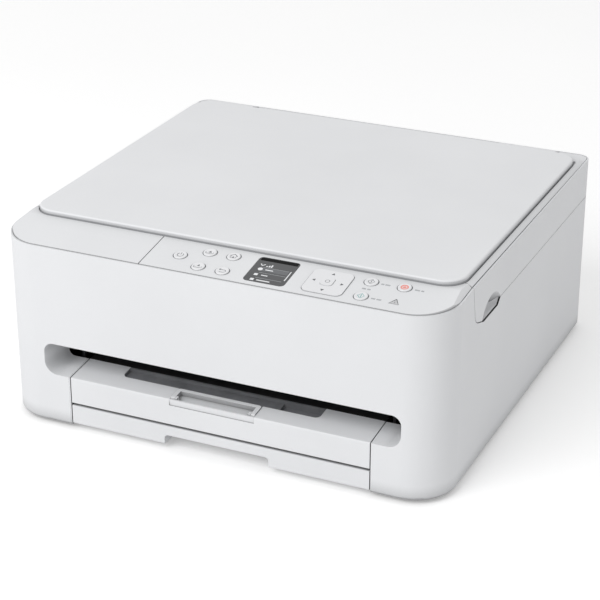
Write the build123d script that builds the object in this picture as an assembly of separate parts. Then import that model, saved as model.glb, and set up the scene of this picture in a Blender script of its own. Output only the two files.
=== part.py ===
from build123d import *
import math
import os

os.makedirs("parts", exist_ok=True)

# Overall housing, millimetres. X is the width, Y runs from front to back, Z is up.
WIDTH = 372.0
DEPTH = 355.0
FOOT_H = 3.0
FRONT_R = 33.4
REAR_R = 11.0
BASE_R = 3.0
WALL = 2.5
LAND = 1.3
SEAM = 0.4
INLAY_GAP = 0.4
HALF_W = WIDTH / 2
FRONT_Y = -DEPTH / 2
REAR_Y = DEPTH / 2
FAR = 400.0

# Seam between the lower shell and the scanner unit, and the rim above it.
SPLIT_Z = 124.5
SPLIT_BACK = 55.7
SPLIT_LEAN = 6.8
SPLIT_R = 9.0
UPPER_H = 32.9
FRONT_FALL = 3.8
REAR_CLIMB = 0.9
SPLIT_Y = FRONT_Y + SPLIT_BACK
SPLIT_FOOT_Y = SPLIT_Y + SPLIT_LEAN
RIM_MID = SPLIT_Z + UPPER_H
RIM_FRONT = RIM_MID - FRONT_FALL
RIM_REAR = RIM_MID + REAR_CLIMB

# Margin round the document cover, and the well that the cover lies in.
MARGIN_RISE = 3.1
WELL_DEEP = 2.2
FRAME_T = 3.8
WELL_PLAY = 0.9
MARGIN_CREST = RIM_MID + MARGIN_RISE
WELL_Z = MARGIN_CREST - WELL_DEEP
FRAME_Z = WELL_Z - FRAME_T

# Sloping control panel. A place on it is its X and its distance behind the front face.
PANEL_PROUD = 0.5
PANEL_SLOPE = 0.15
PANEL_T = 2.6
PANEL_SHELF_DROP = 1.6
PANEL_SEAM_X = -60.2
PANEL_SEAM_GAP = 0.7
PANEL_FRONT_Z = RIM_FRONT + PANEL_PROUD
PANEL_SHELF_Z = RIM_MID - PANEL_SHELF_DROP
BUTTON_R = 5.5
BUTTON_PLAY = 0.3
BUTTON_RISE = 0.8
BUTTON_TRAVEL = 1.0
BUTTON_EDGE_R = 0.6
DISH_R = 22.0
DISH_RISE = 0.45
FLANGE_R = 6.4
FLANGE_T = 1.0
STEM_R = 1.8
POWER_AT = (-35.2, 21.9)
MENU_AT = [(-15.3, 32.3), (4.4, 32.5), (-15.0, 11.7), (5.1, 11.6)]
BLACK_AT = (115.6, 32.3)
STOP_AT = (141.4, 32.7)
COLOUR_AT = (115.7, 12.4)
PAD_AT = (85.75, 21.75)
PAD_W = 31.9
PAD_L = 30.8
PAD_R = 5.0
PAD_RISE = 0.5
PAD_FLANGE = 1.5
OK_AT = (85.4, 22.1)
OK_W = 9.5
OK_L = 10.4
OK_R = 2.6
OK_RISE = 1.0
LCD_AT = (40.35, 22.65)
LCD_W = 33.3
LCD_L = 34.0
LCD_R = 3.5
LCD_T = 1.6
LCD_SINK = 0.1
LAMP_AT = (141.5, 12.6)
LAMP_R = 3.4
LAMP_EDGE_R = 0.8
BOARD_DROP = 8.0
BOARD_T = 1.6
BOARD_W = 210.0
BOARD_L = 27.0
BOARD_AT = (53.0, 21.5)
DOME_R = 3.0
DOME_H = 1.0
BOSS_R = 2.5
BOSS_AT = [(-48.0, 27.5), (20.0, 17.5), (64.0, 17.5), (152.0, 22.5)]

# Paper outlet in the front face: a mouth that narrows a little to the dark space behind it.
SLOT_X0 = -147.2
SLOT_X1 = 154.0
SLOT_TOP = 72.0
SLOT_DEEP = 30.5
SLOT_R = 8.0
SLOT_LOW_R = 11.0
SLOT_TAPER = 4.4
SLOT_REAR_R = 5.0
LINER_T = 2.2

# Output tray between the two front gaps.
TRAY_X0 = -125.0
TRAY_X1 = 130.5
TRAY_GAP = 0.9
TRAY_SEAM_Z = 23.3
TRAY_FRONT_Z = 45.4
TRAY_SLOPE = 5.4
TRAY_LONG = 115.5
TRAY_SPLIT = 30.7
TRAY_T = 9.0
TRAY_WALL = 3.0
TRAY_LIP_R = 1.2
TUNNEL_TOP = -2.9
POCKET_X0 = -87.0
POCKET_X1 = 81.5
POCKET_STEP_X = 47.0
POCKET_BACK = 16.5
POCKET_WALL = 1.5
POCKET_DEEP = 3.0
POCKET_DEEPER = 6.0
POCKET_R = 4.5
CHANNEL_X0 = -37.0
CHANNEL_X1 = 35.0
CHANNEL_LONG = 110.0
CHANNEL_DEEP = 5.2
CHANNEL_LIP = 2.0
CHANNEL_LIP_T = 2.0
SUPPORT_TRAVEL = 85.0
SUPPORT_PLAY = 0.15
SUPPORT_TOP = -3.1
SUPPORT_WING = 12.0
STOPPER_BAR = 3.4
STOPPER_REACH = 10.6
STOPPER_AXIS_V = 3.6
STOPPER_AXIS_N = -1.0
STOPPER_PIN_R = 0.9
STOPPER_EAR = 2.0
STOPPER_BEND_R = 2.4
TRAY_REAR_Y = FRONT_Y + TRAY_LONG
TRAY_MID_X = (TRAY_X0 + TRAY_X1) / 2

# Paper cassette under the tray.
CASSETTE_Z = 5.3
CASSETTE_T = 2.0
CASSETTE_WALL = 2.0
CASSETTE_GAP = 1.8
CASSETTE_BACK = 35.5
CASSETTE_LONG = DEPTH - CASSETTE_BACK
CASSETTE_EDGE_R = 1.0
NOTCH_X0 = -42.0
NOTCH_X1 = 47.0
NOTCH_TOP = 13.5
NOTCH_DEEP = 17.0
NOTCH_R = 3.2
NOTCH_WALL = 1.6
PAPER_W = 210.0
GUIDE_T = 1.6
GUIDE_H = 12.0
GUIDE_BACK = 137.5
GUIDE_LONG = 70.0
GUIDE_FOOT = 1.2
END_GUIDE_HALF = 14.0
CASSETTE_TOP = TRAY_SEAM_Z - CASSETTE_GAP
CASSETTE_REAR_Y = FRONT_Y + CASSETTE_LONG

# Document cover, its hinge tabs and the glass under it.
COVER_SIDE = 6.7
COVER_FRONT = 44.0
COVER_REAR = 19.0
COVER_LIFT = 3.2
COVER_T = 3.0
COVER_R = 18.0
COVER_EDGE_R = 1.4
GLASS_SIDE = 34.0
GLASS_FRONT = 27.5
GLASS_REAR = 44.5
GLASS_T = 2.8
GLASS_LEDGE = 4.0
PAD_OVERLAP = 6.0
PAD_LIFT = 0.4
PAD_SINK = 1.0
PAD_SHEET_R = 4.0
TAB_LEFT = (14.0, 60.0)
TAB_RIGHT = (27.0, 80.0)
COVER_AXIS_BACK = 9.5
COVER_AXIS_DROP = 1.3
KNUCKLE_R = 4.3
KNUCKLE_PLAY = 0.4
PIN_R = 2.0
PIN_PLAY = 0.08
PIN_REACH = 4.0
COVER_X = HALF_W - COVER_SIDE
COVER_Y0 = FRONT_Y + COVER_FRONT
COVER_Y1 = REAR_Y - COVER_REAR
COVER_Z0 = WELL_Z + COVER_LIFT
COVER_TOP = COVER_Z0 + COVER_T
GLASS_X = HALF_W - GLASS_SIDE
GLASS_Y0 = COVER_Y0 + GLASS_FRONT
GLASS_Y1 = COVER_Y1 - GLASS_REAR
GLASS_MID_Y = (GLASS_Y0 + GLASS_Y1) / 2
PAD_SHEET_X = GLASS_X + PAD_OVERLAP
PAD_SHEET_L = GLASS_Y1 - GLASS_Y0 + 2 * PAD_OVERLAP
PAD_SHEET_Z = WELL_Z + PAD_LIFT
COVER_AXIS_Y = REAR_Y - COVER_AXIS_BACK
COVER_AXIS_Z = WELL_Z - COVER_AXIS_DROP
COVER_TABS = [
    (-HALF_W + TAB_LEFT[0], -HALF_W + TAB_LEFT[1]),
    (HALF_W - TAB_RIGHT[1], HALF_W - TAB_RIGHT[0]),
]

# Scanner unit's own hinge on two towers of the rear wall.
CASE_AXIS_RISE = 6.0
CASE_FLOOR_T = 2.3
TOWER_X = 110.0
TOWER_W = 14.0
TOWER_R = 5.0
TOWER_FOOT = 30.5
CASE_PIN_R = 2.5
CASE_EAR_W = 9.0
EAR_PLAY = 0.3
CASE_AXIS_Z = SPLIT_Z + CASE_AXIS_RISE
CASE_FLOOR_Z = SPLIT_Z + SEAM + CASE_FLOOR_T

# Finger grips under both sides of the scanner unit.
GRIP_BACK = 99.5
GRIP_BALL_R = 32.0
GRIP_BALL_OUT = 20.0
GRIP_BALL_DROP = 14.5
GRIP_DIP = 4.9
GRIP_REAR = 20.0
GRIP_SLANT = 6.0
GRIP_FRONT = 17.5
GRIP_TAPER = 15.0
GRIP_GAP = 0.8
GRIP_BOWL = 7.0
GRIP_BOWL_T = 1.8
GRIP_Y = FRONT_Y + GRIP_BACK
GRIP_BALL_Z = SPLIT_Z - GRIP_BALL_DROP

# Scanner mechanism.
HEAD_W = 24.0
HEAD_H = 12.0
HEAD_MARGIN = 8.0
HEAD_END = 2.0
HEAD_PLAY = 1.3
HEAD_TRAVEL = 2 * GLASS_X - 4
LENS_W = 6.0
LENS_BACK = 7.0
LENS_END = 4.0
LENS_DEEP = 3.0
ROD_BACK = 54.0
ROD_RISE = 10.5
ROD_R = 3.0
ROD_POST = 12.0
HEAD_X = -GLASS_X - HEAD_MARGIN
HEAD_TOP = WELL_Z - GLASS_T - HEAD_PLAY
ROD_Y = GLASS_MID_Y + ROD_BACK
ROD_Z = SPLIT_Z + ROD_RISE

# Printing mechanism, carried by an inner frame over the cassette.
FRAME_SIDE = 6.5
FRAME_SEAT = 0.9
FRAME_FLOOR_T = 2.1
PLATE_T = 2.5
PLATE_TOP = 71.0
PLATE_FRONT = 35.5
PLATE_REAR = 27.5
BAR_Z = 76.0
BAR_T = 2.5
BAR_LONG = 42.0
SHAFT_Z = 62.0
EXIT_BACK = 127.5
FEED_APART = 100.0
SHAFT_R = 3.0
SHAFT_PLAY = 0.06
ROLLER_R = 7.0
EXIT_ROLLERS = 6
EXIT_ROLLER_W = 8.0
FEED_ROLLERS = 4
FEED_ROLLER_W = 40.0
ROLLER_SPAN = 230.0
STAR_R = 4.0
STAR_T = 1.0
STAR_PLAY = 0.3
PLATEN_DEEP = 12.0
PLATEN_RIBS = 10
PLATEN_PITCH = 24.0
PULLEY_R = 8.0
PULLEY_W = 6.0
BELT_T = 1.2
BELT_W = 4.0
BELT_PLAY = 0.3
CARRIAGE_W = 88.0
CARRIAGE_L = 72.0
CARRIAGE_H = 47.0
CARRIAGE_LIFT = 10.0
CARRIAGE_WALL = 3.0
CARRIAGE_PARK = 5.0
CARRIAGE_SPARE = 19.0
RAIL_BACK = 223.5
RAIL_DROP = 8.5
RAIL_H = 36.0
RAIL_T = 1.5
RAIL_LEFT = 20.0
RAIL_RIGHT = 9.0
PILLAR_W = 8.0
PILLAR_L = 16.0
BOARD_FRONT = 14.5
ABSORBER_FRONT = 10.0
ABSORBER_BACK = 12.5
MOTOR_R = 12.0
MOTOR_H = 24.0
FRAME_X0 = TRAY_X0 - FRAME_SIDE
FRAME_X1 = TRAY_X1 + FRAME_SIDE / 2
FRAME_FLOOR_Z = TRAY_SEAM_Z + FRAME_SEAT
FRAME_Y0 = FRONT_Y + PLATE_FRONT
FRAME_Y1 = REAR_Y - PLATE_REAR
EXIT_Y = FRONT_Y + EXIT_BACK
FEED_Y = EXIT_Y + FEED_APART
RAIL_X0 = -HALF_W + RAIL_LEFT
RAIL_X1 = HALF_W - RAIL_RIGHT
RAIL_Y = FRONT_Y + RAIL_BACK
RAIL_Z1 = SPLIT_Z - RAIL_DROP
RAIL_Z0 = RAIL_Z1 - RAIL_H
CARRIAGE_X = RAIL_X1 - CARRIAGE_PARK - CARRIAGE_W / 2
CARRIAGE_TRAVEL = RAIL_X1 - RAIL_X0 - CARRIAGE_W - CARRIAGE_SPARE
CARRIAGE_Z0 = SHAFT_Z + CARRIAGE_LIFT
CARRIAGE_Z1 = CARRIAGE_Z0 + CARRIAGE_H
CARRIAGE_Y1 = RAIL_Y - 6.0
CARRIAGE_Y0 = CARRIAGE_Y1 - CARRIAGE_L

# Rear face.
REAR_SIDE = 17.0
REAR_COVER_X0 = -99.0
REAR_COVER_X1 = 103.0
REAR_COVER_Z0 = 28.0
REAR_COVER_Z1 = 84.0
REAR_PIN_R = 1.8
REAR_EAR = 4.0
BARREL_R = 5.5
INLET_SIDE = 36.0
INLET_Z = 24.0
INLET_W = 22.0
INLET_H = 13.0
SOCKET_DEEP = 16.0
USB_SIDE = 28.0
USB_Z = 66.0
USB_W = 13.0
USB_H = 12.0
CUT_PLAY = 0.1
REAR_SIDE_X = HALF_W - REAR_SIDE
INLET_X = -HALF_W + INLET_SIDE
USB_X = HALF_W - USB_SIDE

PANEL_ANGLE = math.degrees(math.atan(PANEL_SLOPE))
PANEL_COS = math.cos(math.radians(PANEL_ANGLE))
PANEL_NORMAL = (0, -math.sin(math.radians(PANEL_ANGLE)), PANEL_COS)
TRAY_SIN = math.sin(math.radians(TRAY_SLOPE))
TRAY_COS = math.cos(math.radians(TRAY_SLOPE))
TRAY_TAN = TRAY_SIN / TRAY_COS
PANEL = Plane(origin=(0, FRONT_Y, PANEL_FRONT_Z), x_dir=(1, 0, 0), z_dir=PANEL_NORMAL)
TRAY = Plane(origin=(0, FRONT_Y, TRAY_FRONT_Z), x_dir=(1, 0, 0), z_dir=(0, -TRAY_SIN, TRAY_COS))


def block(x0, x1, y0, y1, z0, z1):
    return Pos((x0 + x1) / 2, (y0 + y1) / 2, (z0 + z1) / 2) * Box(x1 - x0, y1 - y0, z1 - z0)


def rod_x(x0, x1, y, z, radius):
    return Pos((x0 + x1) / 2, y, z) * Rot(0, 90, 0) * Cylinder(radius, x1 - x0)


def rod_y(y0, y1, x, z, radius):
    return Pos(x, (y0 + y1) / 2, z) * Rot(90, 0, 0) * Cylinder(radius, y1 - y0)


def rod_z(z0, z1, x, y, radius):
    return Pos(x, y, (z0 + z1) / 2) * Cylinder(radius, z1 - z0)


def side_prism(outline, x0, x1):
    return extrude(Plane.YZ.offset(x0) * outline, x1 - x0, dir=(1, 0, 0))


def front_plane(y):
    return Plane(origin=(0, y, 0), x_dir=(1, 0, 0), z_dir=(0, -1, 0))


def front_prism(outline, y0, y1):
    return extrude(front_plane(y1) * outline, y1 - y0, dir=(0, -1, 0))


def plan(inset):
    face = Rectangle(WIDTH - 2 * inset, DEPTH - 2 * inset)
    face = fillet(face.vertices().group_by(Axis.Y)[0], FRONT_R - inset)
    return fillet(face.vertices().group_by(Axis.Y)[-1], REAR_R - inset)


def column(inset, z0, z1):
    return extrude(Pos(0, 0, z0) * plan(inset), z1 - z0)


def on_panel(at, rise=0.0):
    return PANEL * Pos(at[0], at[1] / PANEL_COS, rise)


def panel_z(y):
    return PANEL_FRONT_Z + PANEL_SLOPE * (y - FRONT_Y)


def tray_z(y):
    return TRAY_FRONT_Z + TRAY_TAN * (y - FRONT_Y)


def lower_outline():
    slope = FRONT_FALL / SPLIT_BACK
    top = RIM_MID - slope * (SPLIT_Y + FAR / 2)
    points = [(-FAR / 2, -5), (-FAR / 2, top), (SPLIT_Y, RIM_MID)]
    points += [(SPLIT_FOOT_Y, SPLIT_Z), (FAR / 2, SPLIT_Z), (FAR / 2, -5)]
    face = Polygon(*points, align=None)
    corner = face.vertices().sort_by_distance((SPLIT_FOOT_Y, SPLIT_Z))[0]
    return fillet(corner, SPLIT_R)


def case_axis_y():
    return REAR_Y - (CASE_AXIS_Z - SPLIT_Z - SEAM)


def upper_outline():
    foot = SPLIT_Z + SEAM
    points = [(SPLIT_Y + SEAM, FAR / 2), (SPLIT_Y + SEAM, RIM_MID)]
    points += [(SPLIT_FOOT_Y + SEAM, foot), (REAR_Y, foot), (REAR_Y, FAR / 2)]
    face = Polygon(*points, align=None)
    front = face.vertices().sort_by_distance((SPLIT_FOOT_Y + SEAM, foot))[0]
    face = fillet(front, SPLIT_R - SEAM)
    rear = face.vertices().sort_by_distance((REAR_Y, foot))[0]
    return fillet(rear, CASE_AXIS_Z - foot)


def panel_bend():
    return FRONT_Y + (PANEL_SHELF_Z + PANEL_T - PANEL_FRONT_Z) / PANEL_SLOPE


def panel_outline():
    front = FRONT_Y - 1
    points = [(front, panel_z(front) - PANEL_T), (panel_bend(), PANEL_SHELF_Z)]
    points += [(SPLIT_Y - INLAY_GAP, PANEL_SHELF_Z)]
    crest = FRONT_Y + (MARGIN_CREST - PANEL_FRONT_Z) / PANEL_SLOPE
    points += [(SPLIT_Y - INLAY_GAP, MARGIN_CREST), (crest, MARGIN_CREST), (front, panel_z(front))]
    return Polygon(*points, align=None)


def panel_seat():
    front = FRONT_Y - 1
    points = [(front, panel_z(front) - PANEL_T), (panel_bend(), PANEL_SHELF_Z)]
    points += [(0, PANEL_SHELF_Z), (0, FAR / 2), (front, FAR / 2)]
    return side_prism(Polygon(*points, align=None), -HALF_W, HALF_W) & column(LAND, SPLIT_Z, FAR / 2)


def slot_outline(y, inset, low_r, top_r):
    """The paper outlet's outline where it crosses the plane at y."""
    low = tray_z(y) + inset
    width = SLOT_X1 - SLOT_X0 - 2 * inset
    height = SLOT_TOP - inset - low
    face = Pos((SLOT_X0 + SLOT_X1) / 2, low + height / 2) * Rectangle(width, height)
    face = fillet(face.vertices().group_by(Axis.Y)[0], low_r)
    face = fillet(face.vertices().group_by(Axis.Y)[-1], top_r)
    return front_plane(y) * face


def slot_space(grow):
    """The flared space of the paper outlet, grown by the thickness of its lining."""
    front = slot_outline(FRONT_Y - 1, -grow, SLOT_LOW_R + grow, SLOT_R + grow)
    rear_y = FRONT_Y + SLOT_DEEP + 1
    low = tray_z(rear_y) - grow
    width = SLOT_X1 - SLOT_X0 - 2 * SLOT_TAPER + 2 * grow
    height = SLOT_TOP + grow - low
    face = Pos((SLOT_X0 + SLOT_X1) / 2, low + height / 2) * Rectangle(width, height)
    face = fillet(face.vertices().group_by(Axis.Y)[0], SLOT_REAR_R + grow)
    face = fillet(face.vertices().group_by(Axis.Y)[-1], SLOT_REAR_R + grow)
    return loft([front, front_plane(rear_y) * face], ruled=True)


def front_mouth():
    rise = SLOT_DEEP * TRAY_TAN
    return block(
        TRAY_X0, TRAY_X1, FRONT_Y - 5, FRONT_Y + SLOT_DEEP + 5, -5, TRAY_FRONT_Z + rise + TRAY_GAP
    )


def grip_ball(radius, side):
    return Pos(side * (HALF_W + GRIP_BALL_OUT), GRIP_Y, GRIP_BALL_Z) * Sphere(radius)


def grip_profile(gap):
    """The dip of the seam at a grip: steep at the rear, flat, and a long taper to the front."""
    low = SPLIT_Z - GRIP_DIP + gap
    rear = GRIP_Y + GRIP_REAR
    front = GRIP_Y - GRIP_FRONT
    points = [(front - GRIP_TAPER, SPLIT_Z + gap), (front, low), (rear - GRIP_SLANT - gap, low)]
    points += [(rear - gap, SPLIT_Z + gap), (rear - gap, CASE_FLOOR_Z), (front - GRIP_TAPER, CASE_FLOOR_Z)]
    return Polygon(*points, align=None)


def main_shell():
    body = column(0, FOOT_H, FAR / 2)
    body = fillet(body.edges().group_by(Axis.Z)[0], BASE_R)
    body -= column(WALL, FOOT_H - 1, FAR / 2)
    body = body & side_prism(lower_outline(), -HALF_W, HALF_W)
    body -= panel_seat()
    body -= block(-REAR_SIDE_X, REAR_SIDE_X, REAR_Y - 10, REAR_Y + 5, -5, FAR / 2)
    body -= side_prism(grip_profile(0), -HALF_W, HALF_W)
    liner = slot_space(LINER_T) & column(0.2, 0, SPLIT_Z)
    liner = liner & block(-HALF_W, HALF_W, FRONT_Y, FRONT_Y + SLOT_DEEP, 0, SPLIT_Z)
    body += liner
    body -= slot_space(0)
    body -= front_mouth()
    return body


def rear_panel():
    side = REAR_SIDE_X - 0.2
    panel = block(-side, side, REAR_Y - WALL, REAR_Y, FOOT_H, SPLIT_Z)
    flange = REAR_SIDE_X + 6
    panel += block(-flange, flange, REAR_Y - 2 * WALL, REAR_Y - WALL, FOOT_H + 5, SPLIT_Z - 6.5)
    gap = INLAY_GAP
    y0 = REAR_Y - REAR_SIDE
    panel -= block(
        REAR_COVER_X0 - gap, REAR_COVER_X1 + gap, y0, REAR_Y + 9, REAR_COVER_Z0 - gap, REAR_COVER_Z1 + gap
    )
    hole = 2 * CUT_PLAY
    panel -= Pos(INLET_X, REAR_Y, INLET_Z) * Box(INLET_W + hole, 30, INLET_H + hole)
    panel -= Pos(USB_X, REAR_Y, USB_Z) * Box(USB_W + hole, 30, USB_H + hole)
    axis_y = case_axis_y()
    for x in (-TOWER_X, TOWER_X):
        x0 = x - TOWER_W / 2
        x1 = x + TOWER_W / 2
        panel += block(x0, x1, axis_y - TOWER_R, REAR_Y - WALL, CASE_AXIS_Z - TOWER_FOOT, CASE_AXIS_Z)
        panel += rod_x(x0, x1, axis_y, CASE_AXIS_Z, TOWER_R)
        panel -= rod_x(x0 - 1, x1 + 1, axis_y, CASE_AXIS_Z, CASE_PIN_R)
        panel -= block(x0 - 1, x1 + 1, axis_y + TOWER_R + 0.05, REAR_Y + 5, SPLIT_Z - 3, CASE_AXIS_Z + 1)
    barrel_y = REAR_Y - BARREL_R
    barrel_z = REAR_COVER_Z0 + BARREL_R
    ears = [(REAR_COVER_X0 - REAR_EAR, REAR_COVER_X0 - gap), (REAR_COVER_X1 + gap, REAR_COVER_X1 + REAR_EAR)]
    for x0, x1 in ears:
        ear = block(x0, x1, barrel_y - BARREL_R + 0.5, REAR_Y - WALL, barrel_z - 6, barrel_z + 6)
        panel += ear
        panel -= rod_x(x0 - 1, x1 + 1, barrel_y, barrel_z, REAR_PIN_R + PIN_PLAY)
    return panel


def rear_cover():
    barrel_y = REAR_Y - BARREL_R
    barrel_z = REAR_COVER_Z0 + BARREL_R
    reach = REAR_EAR - 0.5
    cover = block(REAR_COVER_X0, REAR_COVER_X1, REAR_Y - WALL, REAR_Y, barrel_z, REAR_COVER_Z1)
    cover += rod_x(REAR_COVER_X0, REAR_COVER_X1, barrel_y, barrel_z, BARREL_R)
    cover += rod_x(REAR_COVER_X0 - reach, REAR_COVER_X1 + reach, barrel_y, barrel_z, REAR_PIN_R)
    ribs = 5
    pitch = (REAR_COVER_X1 - REAR_COVER_X0) / (ribs + 1)
    for step in range(ribs):
        x = REAR_COVER_X0 + pitch * (step + 1)
        cover += block(x - 1, x + 1, REAR_Y - 9, REAR_Y - WALL, barrel_z, REAR_COVER_Z1 - 3)
    middle = (REAR_COVER_X0 + REAR_COVER_X1) / 2
    pull = rod_x(middle - 22, middle + 22, REAR_Y + 1.5, REAR_COVER_Z1 - 6, 3.0)
    return cover - pull


def base_pan():
    pan = column(WALL + 0.2, FOOT_H, CASSETTE_Z - 0.5)
    pan -= block(TRAY_X0 - 3, TRAY_X1 + 3, FRONT_Y - 5, FRONT_Y + 25.5, -5, 20)
    top = TRAY_SEAM_Z + 0.4
    for x0, x1 in ((TRAY_X0 - 5, TRAY_X0 - 0.3), (TRAY_X1 + 0.3, TRAY_X1 + 5)):
        pan += block(x0, x1, FRONT_Y + 27.5, FRAME_Y1, FOOT_H, top)
    for x in (RAIL_X0, RAIL_X1 - PILLAR_W):
        pan += block(x, x + PILLAR_W, RAIL_Y, RAIL_Y + PILLAR_L, FOOT_H, RAIL_Z0)
    return pan


def feet():
    foot = rod_z(0, FOOT_H, 0, 0, 9.0)
    foot = fillet(foot.edges().group_by(Axis.Z)[0], 1.0)
    x = HALF_W - 36
    spots = [(-x, FRONT_Y + 57.5), (x, FRONT_Y + 57.5), (-x, REAR_Y - 27.5), (x, REAR_Y - 27.5)]
    return Compound(children=[Pos(*spot, 0) * foot for spot in spots])


def bevel_cutter():
    side = HALF_W - LAND - INLAY_GAP
    crest = (COVER_X + WELL_PLAY + 0.4, COVER_Y0 - WELL_PLAY)
    start = Vector(side, FRONT_Y, panel_z(FRONT_Y) + 0.02)
    along = Vector(side, SPLIT_Y, RIM_MID + 0.4) - start
    up = Vector(crest[0], crest[1], panel_z(crest[1])) - start
    cutter = Plane(origin=start, x_dir=along, z_dir=along.cross(up))
    box = cutter * Box(FAR, FAR, 60, align=(Align.CENTER, Align.CENTER, Align.MIN))
    return box + mirror(box, Plane.YZ)


def cover_face(grow):
    width = 2 * (COVER_X + grow)
    length = COVER_Y1 - COVER_Y0 + 2 * grow
    return Pos(0, (COVER_Y0 + COVER_Y1) / 2) * RectangleRounded(width, length, COVER_R + grow)


def panel_blank():
    blank = column(LAND + INLAY_GAP, SPLIT_Z, MARGIN_CREST + 5)
    blank = blank & side_prism(panel_outline(), -HALF_W, HALF_W)
    blank -= bevel_cutter()
    return blank - extrude(Pos(0, 0, WELL_Z) * cover_face(WELL_PLAY), 20)


def left_top_panel():
    return panel_blank() & block(-FAR, PANEL_SEAM_X - PANEL_SEAM_GAP / 2, -FAR, 0, 0, FAR)


def control_panel():
    panel = panel_blank() & block(PANEL_SEAM_X + PANEL_SEAM_GAP / 2, FAR, -FAR, 0, 0, FAR)
    for at in BOSS_AT:
        panel += on_panel(at, -BOARD_DROP) * Cylinder(
            BOSS_R, BOARD_DROP - 1, align=(Align.CENTER, Align.CENTER, Align.MIN)
        )
    for at in [POWER_AT, BLACK_AT, STOP_AT, COLOUR_AT] + MENU_AT:
        panel -= on_panel(at) * Cylinder(BUTTON_R, 10)
        panel -= below_panel(at, Circle(FLANGE_R + 0.3))
    panel -= extrude(on_panel(PAD_AT, -6) * pad_face(BUTTON_PLAY), 12)
    panel -= below_panel(PAD_AT, pad_face(PAD_FLANGE + 0.3))
    hole = 2 * CUT_PLAY
    screen = RectangleRounded(LCD_W + hole, LCD_L + hole, LCD_R + CUT_PLAY)
    panel -= extrude(on_panel(LCD_AT, -12) * screen, 24)
    panel -= on_panel(LAMP_AT, 0) * lamp_form(0.05, 12)
    return panel


def below_panel(at, face):
    return extrude(on_panel(at, -PANEL_T - 8) * face, 8)


def pad_face(grow):
    return RectangleRounded(PAD_W + 2 * grow, PAD_L + 2 * grow, PAD_R + grow)


def lamp_form(grow, height):
    face = Rot(0, 0, 90) * RegularPolygon(LAMP_R + 2 * grow, 3)
    face = fillet(face.vertices(), LAMP_EDGE_R)
    return Pos(0, 0, -height / 2) * extrude(face, height)


def lcd_window():
    glass = RectangleRounded(LCD_W, LCD_L, LCD_R)
    return extrude(on_panel(LCD_AT, -LCD_T) * glass, LCD_T - LCD_SINK)


def lcd_module():
    face = RectangleRounded(LCD_W - 1, LCD_L - 1, LCD_R - 0.5)
    return extrude(on_panel(LCD_AT, -BOARD_DROP) * face, BOARD_DROP - LCD_T)


def alarm_lamp():
    return on_panel(LAMP_AT, -PANEL_T / 2) * lamp_form(0, PANEL_T)


def control_board():
    board = extrude(on_panel(BOARD_AT, -BOARD_DROP - BOARD_T) * Rectangle(BOARD_W, BOARD_L), BOARD_T)
    for at in [POWER_AT, BLACK_AT, STOP_AT, COLOUR_AT, OK_AT] + MENU_AT:
        board += on_panel(at, -BOARD_DROP + DOME_H / 2) * Cylinder(DOME_R, DOME_H)
    return board


def stem_foot():
    return -BOARD_DROP + DOME_H + BUTTON_TRAVEL + 0.25


def round_button(at):
    drop = PANEL_T + 0.3
    cap = on_panel(at, -drop) * Cylinder(
        BUTTON_R - BUTTON_PLAY, drop + BUTTON_RISE, align=(Align.CENTER, Align.CENTER, Align.MIN)
    )
    rim = cap.edges().sort_by(lambda edge: PANEL.to_local_coords(edge.center()).Z)[-1]
    cap = fillet(rim, BUTTON_EDGE_R)
    cap -= on_panel(at, DISH_RISE + DISH_R) * Sphere(DISH_R)
    cap += on_panel(at, -drop - FLANGE_T / 2) * Cylinder(FLANGE_R, FLANGE_T)
    top = -drop - FLANGE_T
    return cap + on_panel(at, (stem_foot() + top) / 2) * Cylinder(STEM_R, top - stem_foot())


def direction_pad():
    drop = PANEL_T + 0.3
    pad = extrude(on_panel(PAD_AT, -drop) * pad_face(0), drop + PAD_RISE)
    pad += extrude(on_panel(PAD_AT, -drop - FLANGE_T) * pad_face(PAD_FLANGE), FLANGE_T)
    play = 2 * BUTTON_PLAY
    hole = RectangleRounded(OK_W + play, OK_L + play, OK_R + BUTTON_PLAY)
    return pad - extrude(on_panel(OK_AT, -8) * hole, 12)


def ok_button():
    face = RectangleRounded(OK_W, OK_L, OK_R)
    return extrude(on_panel(OK_AT, stem_foot()) * face, OK_RISE - stem_foot())


def tray_section():
    """The whole length of the output tray seen from the side."""
    under = FRONT_Y + TRAY_WALL
    foot = TRAY_SEAM_Z + 0.4
    points = [(FRONT_Y, foot), (FRONT_Y, TRAY_FRONT_Z), (TRAY_REAR_Y, tray_z(TRAY_REAR_Y))]
    points += [(TRAY_REAR_Y, tray_z(TRAY_REAR_Y) - TRAY_T), (under, tray_z(under) - TRAY_T), (under, foot)]
    face = Polygon(*points, align=None)
    lip = face.vertices().sort_by_distance((FRONT_Y, TRAY_FRONT_Z))[0]
    return fillet(lip, TRAY_LIP_R)


def pocket_end():
    return TRAY_SPLIT / TRAY_COS - POCKET_WALL


def tray_hollows():
    """The pocket with its step, and the open front of the support's channel."""
    v0 = POCKET_BACK / TRAY_COS
    v1 = pocket_end()
    pocket = Rectangle(POCKET_X1 - POCKET_X0, v1 - v0)
    pocket = fillet(pocket.vertices().group_by(Axis.Y)[0], POCKET_R)
    pocket = Pos((POCKET_X0 + POCKET_X1) / 2, (v0 + v1) / 2) * pocket
    hollows = extrude(TRAY * Pos(0, 0, -POCKET_DEEP) * pocket, POCKET_DEEP + 5)
    deeper = pocket & Pos(POCKET_STEP_X + FAR / 2, 0) * Rectangle(FAR, FAR)
    hollows += extrude(TRAY * Pos(0, 0, -POCKET_DEEPER) * deeper, POCKET_DEEPER + 5)
    middle = (CHANNEL_X0 + CHANNEL_X1) / 2
    slot = Pos(middle, v1 / 2 - 5) * Rectangle(CHANNEL_X1 - CHANNEL_X0, v1 + 10)
    return hollows + extrude(TRAY * Pos(0, 0, -CHANNEL_DEEP) * slot, CHANNEL_DEEP + 5)


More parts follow.
